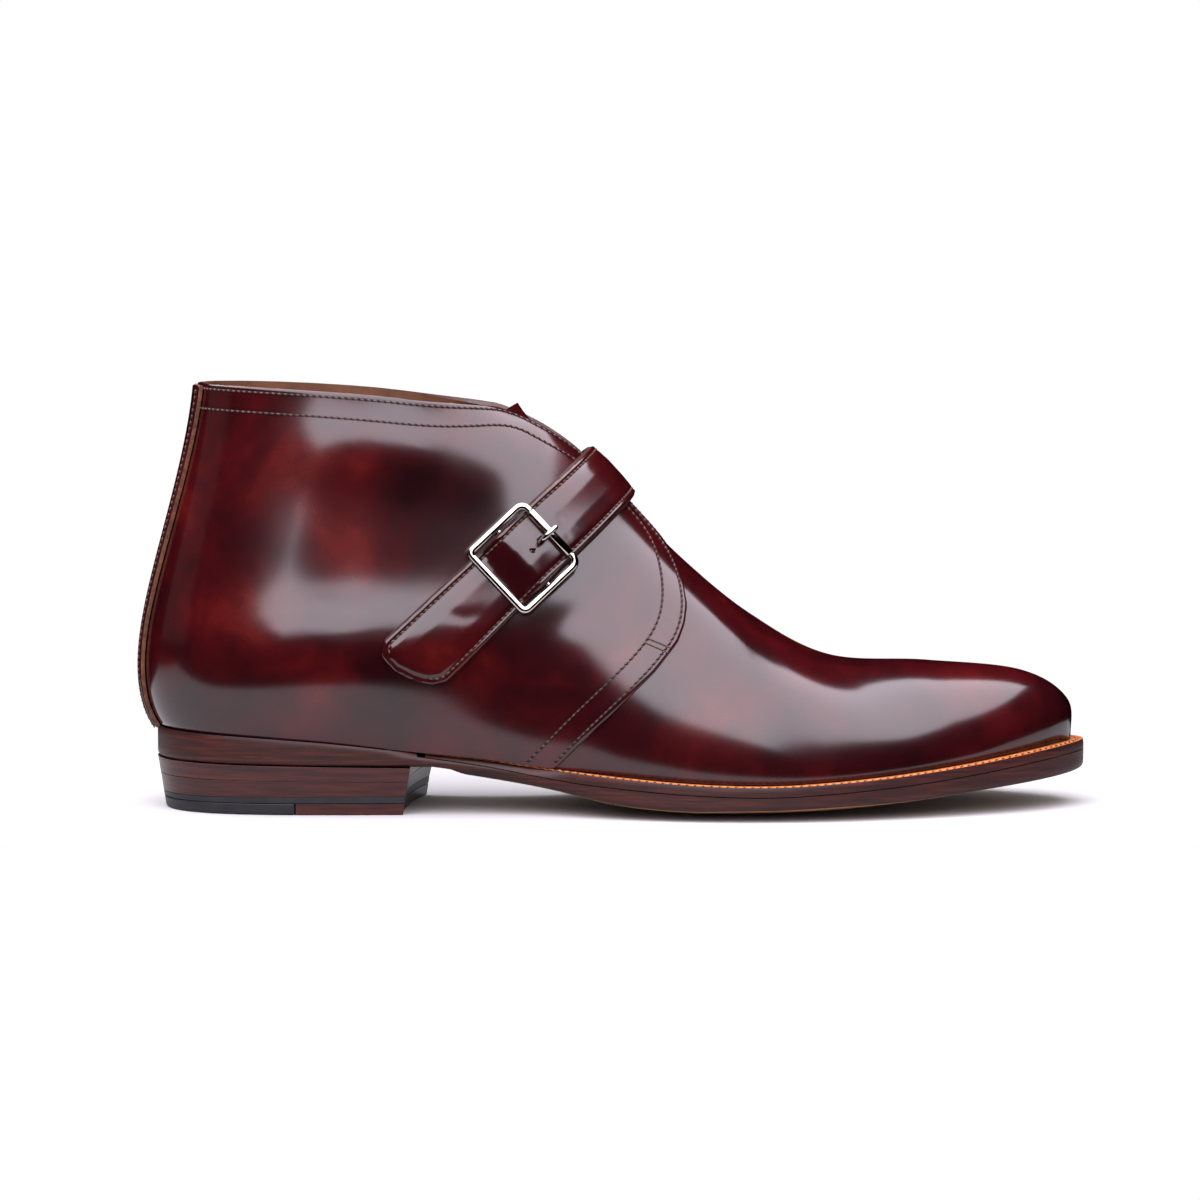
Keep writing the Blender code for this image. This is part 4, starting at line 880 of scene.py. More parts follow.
# %% Rows of the quarters
def row_inside(side, inside):
    """rib and up of a line a distance inside the quarter's cut edge, eased, and run down to the sole."""
    rib, up = cut_edge(side)
    rib, up = rib[1:-1], np.minimum(up[1:-1], 0.9995)
    points, normal = upper(side, rib, up), upper_normal(side, rib, up)
    ahead = np.gradient(points, axis=0)
    ahead /= np.linalg.norm(ahead, axis=1, keepdims=True)
    target = points - side * inside * np.cross(normal, ahead)
    keep = distance_to(cut_trees[side], target) > inside - 0.12
    seen = resampled(target[keep][:, [0, 2]], 1.0)
    down = seen[0] - seen[5]
    seen = resampled(np.vstack([seen[0] + down * (points[0, 2] + 1.0 - seen[0, 1]) / down[1], seen]), 1.0)
    for _ in range(int(6 + 4 * inside)):
        seen[1:-1] = (seen[:-2] + 2 * seen[1:-1] + seen[2:]) / 4
    seen = resampled(seen, 4.0)
    found = np.stack(spot(side, seen[:, 0], seen[:, 1]), 1)
    return through_rows(found, np.linspace(0, len(found) - 1, 4 * len(found))).T


for side in (LATERAL, MEDIAL):
    for row_name, inside in zip(("edge", "second"), QUARTER_ROWS):
        rib, up = row_inside(side, inside)
        sew(f"stitches_{SIDE_NAMES[side]}_quarter_{row_name}",
            off_upper(side, rib, up, QUARTER_STEP + folds_height(side, upper(side, rib, up))),
            upper_normal(side, rib, up), "waxed thread")

# %% [markdown]
# ### Bar tack
# A short bar of close stitches joins the two rows low on the front edge, where the seam takes the most
# pull.

# %% Bar tack
BAR_TACKS = (((158.6, 57.0), (166.0, 53.9)), ((158.1, 55.6), (165.4, 52.4)))  # along and rise of their ends
for number, ends in enumerate(BAR_TACKS):
    along, rise = np.linspace(*ends, 12).T
    rib, up = spot(LATERAL, along, rise)
    sew(f"bar_tack_{number + 1}", off_upper(LATERAL, rib, up, QUARTER_STEP + 0.1),
        upper_normal(LATERAL, rib, up), "waxed thread", pitch=0.8, thickness=0.55, length=1.0, askew=35.0,
        hole=0.3)

# %% [markdown]
# ### Backstay
# A narrow strip of the same calf covers the back seam from the sole to the collar. Its long edges are cut
# and left raw, which shows as a brown line, and a row of stitches runs down each side.

# %% Backstay
BACKSTAY_HALF_WIDTHS = (8.0, 9.0, 8.0, 8.3, 9.2, 10.5)       # evenly from the sole to the collar
BACKSTAY_THICKNESS, BACKSTAY_EDGE_RADIUS = 1.7, 0.45
BACKSTAY_FOOT, BACKSTAY_TOP = 0.012, 0.993                   # shares of the way up the back seam
BACKSTAY_LENGTH = 108.0
BACKSTAY_ROW = 0.84                                          # share of the half width where the stitches run


def backstay_half_width(up):
    """Half the strip's width at a share of the way up."""
    return np.interp(up, np.linspace(0, 1, len(BACKSTAY_HALF_WIDTHS)), BACKSTAY_HALF_WIDTHS)


def on_backstay(side, up, share, height):
    """Points and normals at a share of the half width, a height above the strip's underside."""
    half = backstay_half_width(up) * share
    rib = rib_where(side, up, lambda points: side * points[..., 1] - half, 0.0, 4.0)
    height = QUARTER_STEP + GAP + height + folds_height(side, upper(side, rib, up))
    return off_upper(side, rib, up, height), upper_normal(side, rib, up)


def make_backstay():
    """The strip as two skins joined by its cut edges; shares run out from the back seam to each edge."""
    up = np.append(np.linspace(BACKSTAY_FOOT, 0.97, 90), [0.978, 0.985, 0.99, BACKSTAY_TOP])
    from_ends = np.minimum(BACKSTAY_TOP - up, up - BACKSTAY_FOOT) * BACKSTAY_LENGTH
    shares = (1, 0.985, 0.96, 0.92, 0.84, 0.68, 0.5, 0.33, 0.16)
    outer, inner = [], []
    for side in (LATERAL, MEDIAL):
        for share in shares if side == LATERAL else shares[::-1]:
            inside = np.minimum((1 - share) * backstay_half_width(up), from_ends)
            thick = BACKSTAY_THICKNESS - rounded(inside, BACKSTAY_EDGE_RADIUS)
            outer.append(on_backstay(side, up, share, thick)[0])
            inner.append(on_backstay(side, up, share, 0.0)[0])
    outer, inner = np.stack(outer, 1), np.stack(inner, 1)
    bm = bmesh.new()
    sheet(bm, outer)
    sheet(bm, inner, slot=1)
    for line in (np.s_[0], np.s_[-1], np.s_[:, 0], np.s_[:, -1]):
        sheet(bm, np.stack([outer[line], inner[line]]), slot=1)
    finish_piece("backstay_strip", bm, ("burgundy strap calf", "raw cut edge"), "backstay",
                 sharp=50.0)


make_backstay()
for side in (LATERAL, MEDIAL):
    up = np.linspace(0.02, 0.985, 80)
    sew(f"stitches_{SIDE_NAMES[side]}_backstay", *on_backstay(side, up, BACKSTAY_ROW, BACKSTAY_THICKNESS),
        "waxed thread")

# %% [markdown]
# ## The strap
# The strap starts on the inner quarter, crosses the instep and runs down through the buckle to its tail. It
# is two layers of calf over a thin filling, so it is a little domed between its two rows of stitches, and
# it climbs over the buckle's hinge bar. Its outline is drawn in the side view, then laid on the boot's
# surface.

# %% Path of the strap
STRAP_START = (84.9, 50.2)                   # along and rise of the middle of its tail
STRAP_SLOPE = 42.9                           # degrees up from level
STRAP_HALF_WIDTHS = (11.2, 10.2)             # at the tail and at the ridge
STRAP_VIEW_LENGTH = 85.6
STRAP_THICKNESS = 2.4
STRAP_CLEAR = QUARTER_STEP + GAP + 0.5       # height of its underside off the vamp's surface
STRAP_INNER_END = 26.0
STRAP_TAIL = ((-1.0, -2.6), (-0.9, -5.2), (-0.66, -6.4), (-0.2, -6.3), (0.3, -4.4), (0.68, -2.0), (0.9, 0.4),
              (1.0, 3.2))
BUCKLE_AT = 46.7                             # how far up the strap the buckle's middle is
BUCKLE_HALF_LENGTH, BUCKLE_HALF_WIDTH = 11.65, 12.9
BUCKLE_CORNER, BUCKLE_SMALL_CORNER = 2.6, 1.9
BAR_RADIUS, HINGE_BAR_RADIUS = 1.25, 0.8
ROLLER_RADIUS, ROLLER_BORE, ROLLER_HALF_LENGTH = 1.4, 1.0, 9.6
FRAME_HEIGHT = 6.2
HINGE_DEPTH = -1.5
PRONG_RADIUS = 0.9
PRONG_PATH = ((2.1, -2.3), (3.4, -2.5), (5.2, -2.3), (6.6, -1.4), (7.6, 0.1), (8.7, 1.6), (10.1, 2.5),
              (11.65, 2.7), (13.3, 2.3), (14.5, 1.3))

# directions of the strap, seen from the side
STRAP_ALONG = np.array([np.cos(degrees(STRAP_SLOPE)), 0.0, np.sin(degrees(STRAP_SLOPE))])
STRAP_ACROSS = np.array([STRAP_ALONG[2], 0.0, -STRAP_ALONG[0]])


def strap_half_width(along):
    """Half the strap's width, seen from the side, this far up it."""
    return np.interp(along, (0.0, STRAP_VIEW_LENGTH), STRAP_HALF_WIDTHS)


def seen_on_strap(share, along):
    """Length and height, seen from the side, this far along the strap and at a share of its half width."""
    aside = share * strap_half_width(along)
    return (STRAP_START[0] + along * STRAP_ALONG[0] + aside * STRAP_ACROSS[0],
            STRAP_START[1] + along * STRAP_ALONG[2] + aside * STRAP_ACROSS[2])


def strap_spot(side, share, along):
    """Rib and up where the strap's line at a share of its half width has come this far along."""
    return spot(side, *seen_on_strap(share, along))


def strap_end(side, share):
    """How far along the strap's line at a share of its half width meets the ridge."""
    low, high = np.full(share.shape, 50.0), np.full(share.shape, 110.0)
    for _ in range(26):
        along = (low + high) / 2
        ahead, rise = seen_on_strap(share, along)
        beyond = ahead > upper(side, ridge_rib(side, rise), np.ones(share.shape))[..., 0]
        low, high = np.where(beyond, low, along), np.where(beyond, along, high)
    return along


print("the strap is", 2 * STRAP_HALF_WIDTHS[0], "mm wide at its tail")

# %% [markdown]
# ### Place of the buckle
# The buckle is flat and stiff, so it lies in one plane over the curved leather. The plane is found from
# four points under its corners. The strap's underside rises there, because it goes over the hinge bar.

# %% Place of the buckle
def buckle_plane():
    """Middle of the buckle's plane and its directions: along the strap, across it and outwards."""
    corners = []
    for along in (BUCKLE_AT - BUCKLE_HALF_LENGTH, BUCKLE_AT + BUCKLE_HALF_LENGTH):
        for share in (-1.0, 1.0):
            corners.append(upper(LATERAL, *strap_spot(LATERAL, np.array([share]), np.array([along])))[0])
    near_high, near_low, far_high, far_low = corners
    along, across = far_high + far_low - near_high - near_low, near_high + far_high - near_low - far_low
    along /= np.linalg.norm(along)
    across -= along * (across @ along)
    across /= np.linalg.norm(across)
    outward = np.cross(along, across)
    return sum(corners) / 4 + outward * FRAME_HEIGHT, along, across, outward


def strap_height(side, points):
    """Height of the strap's underside off the surface: it climbs over the buckle's hinge bar."""
    resting = STRAP_CLEAR + folds_height(side, points)
    if side == MEDIAL:
        return resting
    middle, along, _, outward = BUCKLE
    near = np.clip((points - middle) @ along / (BUCKLE_HALF_LENGTH - 1.8), -1, 1)
    climb = HINGE_DEPTH + HINGE_BAR_RADIUS + GAP + 0.15 - (points - middle) @ outward - resting
    return resting + climb * np.cos(near * np.pi / 2) ** 2


BUCKLE = buckle_plane()
print("the buckle's plane faces", [round(float(value), 2) for value in BUCKLE[3]])

# %% [markdown]
# ### Underside of the strap
# The underside is found on a coarse grid laid along the strap, one half on each side of the ridge. The grid
# is then made fine, most of all near the edges, where the leather is rounded.

# %% Underside of the strap
GRID_HALF_WIDTH = 10.4        # the half width over which the grid's columns are spread
COARSE_COLUMNS = 11


def strap_base():
    """Fine grid under the strap: points of the surface, its normals and the underside's height off it."""
    share = np.linspace(-1, 1, COARSE_COLUMNS)
    near_edge = NEAR_EDGE / GRID_HALF_WIDTH
    middle_part = np.linspace(-1 + near_edge[-1], 1 - near_edge[-1], 19)[1:]
    fine_share = np.concatenate([-1 + near_edge, middle_part, 1 - near_edge[-2::-1]])
    grids = []
    for side, first, rows in ((LATERAL, np.interp(share, *np.array(STRAP_TAIL).T), 40),
                              (MEDIAL, np.full(len(share), STRAP_INNER_END), 18)):
        part = 1 - (1 - np.linspace(0, 1, rows)[:, None]) ** (1.25 if side == LATERAL else 1.6)
        along = first + (strap_end(side, share) - first) * part
        rib, up = strap_spot(side, np.broadcast_to(share, along.shape), along)
        rib[-1], up[-1] = ridge_rib(side, upper(side, rib[-1], up[-1])[:, 2]), 1.0
        fine_rows = 120 if side == LATERAL else 46
        fine_row = np.append(np.linspace(0, 0.06, 14)[:-1], np.linspace(0.06, 1, fine_rows))
        rib, up = (through_rows(through_rows(table, (rows - 1) * fine_row).T.copy(),
                                (fine_share + 1) / 2 * (COARSE_COLUMNS - 1)).T for table in (rib, up))
        up = np.clip(up, 0.0, 1.0)
        place = upper(side, rib, up)
        if side == MEDIAL:
            rib, up, place = rib[-2::-1], up[-2::-1], place[-2::-1]
        grids.append((place, upper_normal(side, rib, up), strap_height(side, place)))
    return (np.concatenate([pair[0], pair[1]]) for pair in zip(*grids))


strap_place, strap_normals, strap_lift = strap_base()
strap_under = strap_place + strap_normals * strap_lift[..., None]
outline = np.concatenate([strap_under[0], strap_under[:, -1], strap_under[-1, ::-1], strap_under[::-1, 0]])
strap_inside = distance_to(tree_of(resampled(outline, 0.2)), strap_under)
in_frame = (strap_under - BUCKLE[0]) @ np.array(BUCKLE[1:]).T
print("grid of the strap:", strap_under.shape[0], "rows by", strap_under.shape[1], "columns")

# %% [markdown]
# ### Body of the strap
# The top is the underside plus a thickness that falls off at the rounded edge, dips at the stitches and
# swells between them. Three small creases lie where the strap bends into the buckle.

# %% Strap
STRAP_CREASES = (   # along the strap from the buckle's middle, across it, slope across, width and depth
    (15.5, -2.0, 0.25, 0.6, 0.14), (17.4, 1.0, -0.15, 0.5, 0.12), (14.2, 3.0, 0.1, 0.5, 0.10),
)
CREASE_HALF_LENGTH = 4.0
STRAP_FLARE = 0.8             # how far the edge of the lower layer stands out past the upper one
STRAP_EDGE_RADIUS = 0.75
STRAP_SWELL, STRAP_DIP = 0.42, 0.30


def make_strap():
    """The strap as a domed top and a flared underside; also gives back the points of the top."""
    thick = STRAP_THICKNESS - rounded(strap_inside, STRAP_EDGE_RADIUS)
    thick = thick + STRAP_SWELL * np.clip((strap_inside - STRAP_ROW) / 5.5, 0, 1) ** 0.7
    thick = thick - STRAP_DIP * np.exp(-((strap_inside - STRAP_ROW) / 0.55) ** 2)
    for ahead, aside, slope, width, depth in STRAP_CREASES:
        gap = (in_frame[..., 0] - ahead - slope * (in_frame[..., 1] - aside)) / width
        reach = np.exp(-((in_frame[..., 1] - aside) / CREASE_HALF_LENGTH) ** 2)
        thick = thick - depth * np.exp(-gap ** 2) * reach * (strap_place[..., 1] < 0)
    top = strap_under + strap_normals * thick[..., None]
    flared = strap_under.copy()
    for edge, inner in ((0, 1), (-1, -2)):
        out = flared[:, edge] - flared[:, inner]
        flared[:, edge] += STRAP_FLARE * out / np.linalg.norm(out, axis=1)[:, None]
    bm = bmesh.new()
    layer = bm.verts.layers.float.new("seam")
    for vert, value in zip(sheet(bm, top), strap_inside.ravel()):
        vert[layer] = value
    sheet(bm, flared, slot=1)
    for line in (np.s_[0], np.s_[-1], np.s_[:, 0], np.s_[:, -1]):
        bulge = 0.5 * (top[line] + flared[line]) + 0.25 * (flared[line] - strap_under[line])
        sheet(bm, np.stack([top[line], bulge, flared[line]]), slot=1)
    made = finish_piece("strap_leather", bm, ("burgundy strap calf", "painted edge"), "strap")
    return made, top


strap_leather, strap_top = make_strap()

# %% [markdown]
# ### Stitches of the strap
# The strap is sewn once round, close to its edge, with a second line across its inner end. The row is the
# line on the grid whose distance from the outline is 1.6 mm, so it is read off between the grid's columns.

# %% Stitches of the strap
def strap_row(inside):
    """Points and normals of the line a distance inside the strap's outline, there and back."""
    left, right = [], []
    columns = strap_inside.shape[1]
    for row, near in enumerate(strap_inside):
        if near.max() < inside:
            continue
        middle = columns // 2
        rising = np.interp(inside, near[:middle], np.arange(middle))
        falling = columns - 1 - np.interp(inside, near[:middle:-1], np.arange(columns - 1 - middle))
        for line, at in ((left, rising), (right, falling)):
            line.append([np.interp(at, range(columns), grid[row, :, axis])
                         for grid in (strap_top, strap_normals) for axis in range(3)])
    left, right = np.array(left), np.array(right)
    return np.concatenate([left[::-1], right])


END_ROW = -14                 # row of the grid, counted from the inner end
row = strap_row(STRAP_ROW)
sew("stitches_strap", row[:, :3], row[:, 3:], "brown waxed thread")
sew("stitches_strap_end", strap_top[END_ROW, 8:-8], strap_normals[END_ROW, 8:-8], "brown waxed thread")

# %% [markdown]
# ### Holes of the strap
# Holes are punched with a steel tube, so their rims are sharp. Here an oval drum is the punch, and a
# Boolean modifier, applied at once, takes it out of the strap. The prong goes through the first hole.

# %% Holes of the strap
def in_buckle(points):
    """Turns points given along, across and out from the buckle's middle into the boot's own sizes."""
    return BUCKLE[0] + np.asarray(points) @ np.array(BUCKLE[1:])


PUNCH_ENDS = (-9.0, 5.0)      # heights of its ends over the buckle's plane


def punch(target, along, half_length, half_width, across=0.0):
    """Cuts a punched hole through the strap with a Boolean of an oval drum."""
    turn = np.linspace(0, 2 * np.pi, 25)[:-1]
    oval = np.column_stack([along + half_length * np.cos(turn), across + half_width * np.sin(turn)])
    bm = bmesh.new()
    ring_sections(bm, in_buckle([np.column_stack([oval, np.full(len(turn), out)]) for out in PUNCH_ENDS]))
    close_up(bm)
    tool = new_object("punch", bm, ("painted edge",))
    change = target.modifiers.new("hole", "BOOLEAN")
    change.operation, change.object = "DIFFERENCE", tool
    depsgraph = bpy.context.evaluated_depsgraph_get()
    cut = bpy.data.meshes.new_from_object(target.evaluated_get(depsgraph))
    target.modifiers.clear()
    target.data = cut
    bpy.data.objects.remove(tool)
    print("strap after the hole:", len(cut.polygons), "faces")


punch(strap_leather, 7.8, 1.5, 1.1)
punch(strap_leather, 3.5, 0.75, 0.75, -0.5)

# %% [markdown]
# ## The buckle
# The frame is one square of round nickel bar with eased corners, bent closed and polished. A tube rolls on
# its far bar so that the strap slides, and the prong hooks from the hinge bar through the strap over the
# roller. Frame, hinge bar and prong are round bars swept along a path that lies flat in the buckle's plane.

# %% Buckle
def round_bar(name, path, radii, flat_axis, node, cyclic=False, sides=24):
    """A round bar swept along a path in the buckle's plane; flat_axis is square to the path."""
    path, flat_axis = np.array(path, dtype=float), np.array(flat_axis, dtype=float)
    if cyclic:
        ahead, behind = np.roll(path, -1, 0), np.roll(path, 1, 0)
    else:
        ahead, behind = np.concatenate([path[1:], path[-1:]]), np.concatenate([path[:1], path[:-1]])
    sideways = np.cross(flat_axis, ahead - behind)
    sideways /= np.linalg.norm(sideways, axis=1)[:, None]
    turn = np.linspace(0, 2 * np.pi, sides + 1)[:-1, None]
    ring = np.cos(turn) * sideways[:, None] + np.sin(turn) * flat_axis
    rings = path[:, None] + ring * np.asarray(radii, dtype=float)[:, None, None]
    bm = bmesh.new()
    if cyclic:
        rings = np.concatenate([rings, rings[:1]])
    ring_sections(bm, in_buckle(rings))
    return finish_piece(name, bm, ("polished nickel",), node, sharp=50.0)


def frame_path():
    """The frame's path and radii: four eased corners, and a thin bar for the roller between two necks."""
    path, radii = [], []
    for along, across, first in ((1, 1, 0), (-1, 1, 90), (-1, -1, 180), (1, -1, 270)):
        corner = BUCKLE_SMALL_CORNER if along < 0 else BUCKLE_CORNER
        for angle in degrees(first + np.linspace(0, 90, 13)):
            path.append((along * (BUCKLE_HALF_LENGTH - corner) + corner * np.cos(angle),
                         across * (BUCKLE_HALF_WIDTH - corner) + corner * np.sin(angle), 0.0))
            radii.append(BAR_RADIUS)
    neck = ROLLER_HALF_LENGTH + 0.1
    for across in (-neck, -neck + 0.12, neck - 0.12, neck):
        path.append((BUCKLE_HALF_LENGTH, across, 0.0))
        radii.append(BAR_RADIUS if abs(across) == neck else ROLLER_BORE - GAP)
    return path, radii


round_bar("nickel_frame", *frame_path(), (0, 0, 1), "buckle_frame", cyclic=True)
hinge_half = BUCKLE_HALF_WIDTH - 0.9
round_bar("nickel_hinge_bar", [(0, across, HINGE_DEPTH) for across in (-hinge_half, 0, hinge_half)],
          [HINGE_BAR_RADIUS] * 3, (0, 0, 1), "buckle_frame")
prong = through_rows(np.array([(along, 0.0, out) for along, out in PRONG_PATH]),
                     np.linspace(0, len(PRONG_PATH) - 1, 60))
prong = resampled(prong, 0.35)
taper = np.interp(np.linspace(0, 1, len(prong)), [0, 0.9, 0.97, 1], [1, 0.95, 0.8, 0.4])
round_bar("nickel_prong", prong, PRONG_RADIUS * taper, (0, 1, 0), "buckle_prong")

# %% [markdown]
# ### Roller
# The roller is a short tube with eased ends. Its section is drawn once and turned round the bar.

# %% Roller
ROLLER_EASE = 0.2
turn = np.linspace(0, 2 * np.pi, 33)[:-1]
end = ROLLER_HALF_LENGTH - GAP
profile = ((ROLLER_BORE, -end), (ROLLER_RADIUS - ROLLER_EASE, -end), (ROLLER_RADIUS, -end + ROLLER_EASE),
           (ROLLER_RADIUS, end - ROLLER_EASE), (ROLLER_RADIUS - ROLLER_EASE, end), (ROLLER_BORE, end),
           (ROLLER_BORE, -end))
rings = [np.column_stack([BUCKLE_HALF_LENGTH + radius * np.cos(turn), np.full(len(turn), across),
                          radius * np.sin(turn)]) for radius, across in profile]
bm = bmesh.new()
ring_sections(bm, in_buckle(rings))
finish_piece("nickel_roller", bm, ("polished nickel",), "buckle_roller", sharp=50.0)
print("buckle outside:", 2 * (BUCKLE_HALF_WIDTH + BAR_RADIUS), "mm wide and",
      2 * (BUCKLE_HALF_LENGTH + BAR_RADIUS), "mm long")

# %% [markdown]
# ## Welt, sole and heel
# The welt is a strip of raw leather sewn round the forepart, and the outsole is stitched up to it, so
# thread shows on its top. A toothed wheel has marked that edge between the stitches. Its section has a
# shallow valley for the thread, and the mark of the wheel is a small wave along the rim.

# %% Edge of the sole
WELT_THICKNESS, WELT_END_THICKNESS = 3.0, 0.9
WELT_ENDS_AT, WELT_FULL_AT = 5.15, 7.3        # places along the sole's edge are row numbers of its table
WELT_REACH = 6.0                              # how far the welt runs in under the upper
WAIST_FROM, WAIST_RISE = 4.7, 0.6             # where the bevelled waist begins, and over how far it grows
WAIST_TO, WAIST_FALL = 7.35, 0.7
WAIST_BEVEL, BOTTOM_EASE, TOP_EASE = 2.2, 0.7, 0.3          # how far the edge turns in
HEEL_JOINTS = (      # heights at the rear and at the breast, from the seat down
    (16.4, 15.1), (11.1, 10.4), (5.2, 5.9), (3.5, 3.5), (0.0, 0.0),
)
HEEL_LENGTH = 84.0
SEAT_CLEARANCE, SEAT_END, SEAT_FALL = 0.05, 94.0, 0.35       # past its end the underside may fall away


def waist_share(at):
    """One at the waist, where the sole's edge is bevelled, and nothing at the heel and the forepart."""
    return np.clip((at - WAIST_FROM) / WAIST_RISE, 0, 1) * np.clip((WAIST_TO - at) / WAIST_FALL, 0, 1)


def edge_inset(at, height):
    """How far the edge lies inside the outline at a share of its height, from the bottom to the ledge."""
    fore = BOTTOM_EASE * np.clip(1 - height / 0.15, 0, 1) ** 2
    fore = fore + TOP_EASE * np.clip((height - 0.9) / 0.1, 0, 1)
    waist = WAIST_BEVEL * (2 * height - 1) ** 2
    return fore + (waist - fore) * waist_share(at)


def welt_thickness(at):
    """The welt is pared thin where it ends at the heel."""
    grown = np.clip((at - WELT_ENDS_AT) / (WELT_FULL_AT - WELT_ENDS_AT), 0, 1)
    return WELT_END_THICKNESS + (WELT_THICKNESS - WELT_END_THICKNESS) * grown


def edge_bottom(at):
    """Height of the sole's lower edge, cupped up a little from the middle of the underside."""
    return np.maximum(outline_column("bottom", at), 0.0) + outline_column("cup", at)


def outsole_top(at):
    """The outsole ends under the welt, and at the seat it goes up to the ledge."""
    in_welt = outline_column("seam", at) - welt_thickness(at) - GAP
    return np.where(at >= WELT_ENDS_AT - 0.01, in_welt, outline_column("seam", at))


def edge_points(side, at, heights):
    """Points down the sole's edge at shares of its height, stations by heights."""
    at, heights = np.broadcast_arrays(at[:, None], heights)
    plan = inset_edge(side, at, edge_inset(at, heights))
    low, high = edge_bottom(at), outline_column("seam", at)
    return np.concatenate([plan, (low + (high - low) * heights)[..., None]], -1)


def flat_on_heel(points):
    """Keeps the underside level with the top of the heel as far as the breast."""
    along = points[..., 0]
    at_rear, at_breast = HEEL_JOINTS[0]
    seat = at_rear + (at_breast - at_rear) * along / HEEL_LENGTH + GAP + SEAT_CLEARANCE
    points[..., 2] = np.maximum(points[..., 2], seat - SEAT_FALL * np.maximum(along - SEAT_END, 0.0))


def across(first, last, shares):
    """Points at shares of the way from one line of points to another."""
    return first[:, None] + (last - first)[:, None] * shares[None, :, None]


def fine_stations(first, pitch=0.65):
    """Outline stations from one to the tip, spaced evenly along the edge."""
    coarse = np.linspace(first, TIP, 600)
    length = np.append(0, np.cumsum(np.linalg.norm(np.diff(sole_edge(LATERAL, coarse), axis=0), axis=1)))
    return np.interp(np.linspace(0, length[-1], int(length[-1] / pitch)), length, coarse)


print("the sole's edge is", round(len(fine_stations(0.0, 1.0)) / 10, 1), "cm long on one side")

# %% [markdown]
# ### Welt
# Its section is one ring of points: up the edge, over the top with its valley and the marks of the wheel,
# and back underneath. The ring is carried round the toe, and the stitches lie in the valley.

# %% Welt
WELT_TOP = (      # how far in from the edge, how far down in the valley, and how deep the wheel marks
    (0.45, 0.0, 0.12), (1.2, 0.05, 0.16), (1.9, 0.42, 0.0), (2.8, 0.0, 0.0),
)
VALLEY_ROW = 2
WELT_LEDGE, WELT_INNER_DROP = 0.3, 0.35
MARKS_FROM, MARKS_RISE = 6.2, 1.0
WHEEL_STEP = np.pi / 2                       # a quarter of a tooth for each place along the edge


def make_welt():
    """The welt strip and the stitches in its valley."""
    ring, stitch_line = [], []
    for side in (LATERAL, MEDIAL):
        stations = fine_stations(WELT_ENDS_AT + 0.1)
        low, high = edge_bottom(stations), outline_column("seam", stations)
        bottom_share = 1 - welt_thickness(stations) / (high - low)
        shares = bottom_share[:, None] + (1 - bottom_share[:, None]) * np.array([0.0, 0.12, 0.5, 0.86, 1.0])
        outer = edge_points(side, stations, shares)
        full = np.clip((stations - MARKS_FROM) / MARKS_RISE, 0, 1)
        wheel = np.sin(np.arange(len(stations)) * WHEEL_STEP)
        margin = outline_column("margin", stations)
        tops = []
        for inset, drop, mark in WELT_TOP:
            point = ledge_point(side, stations, np.minimum(inset + WELT_LEDGE, margin - 0.2))
            point[:, 2] += full * (mark * wheel - drop)
            tops.append(point)
        inner = ledge_point(side, stations, margin + WELT_REACH)
        under = inner - np.array([0.0, 0.0, 1.0]) * welt_thickness(stations)[:, None]
        inner = inner - [0.0, 0.0, WELT_INNER_DROP]
        ring.append(np.concatenate([outer, np.stack(tops, 1), inner[:, None], under[:, None]], 1))
        stitch_line.append(tops[VALLEY_ROW][full > 0.02] + [0.0, 0.0, 0.12])
    bm = bmesh.new()
    section = np.concatenate([ring[0], ring[1][-2::-1]])
    sheet(bm, section[:, :5], slot=1)
    sheet(bm, section[:, 4:9], slot=0)
    sheet(bm, np.concatenate([section[:, 8:], section[:, :1]], 1), slot=0)
    finish_piece("welt_strip", bm, ("welt top", "stained sole edge"), "welt", sharp=60.0)
    row = np.concatenate([stitch_line[0], stitch_line[1][-2::-1]])
    sew("stitches_welt", row, np.tile([0.0, 0.0, 1.0], (len(row), 1)), "welt thread", slot="welt_leather",
        pitch=2.6, thickness=0.75, length=2.3, askew=6.0)


make_welt()

# %% [markdown]
# ### Outsole
# The underside is flat in the middle and curls up towards its edges. Under the seat it is held level,
# because the heel stands there.

# %% Outsole
BOTTOM_FLAT = 0.35            # share of the half width that stays flat


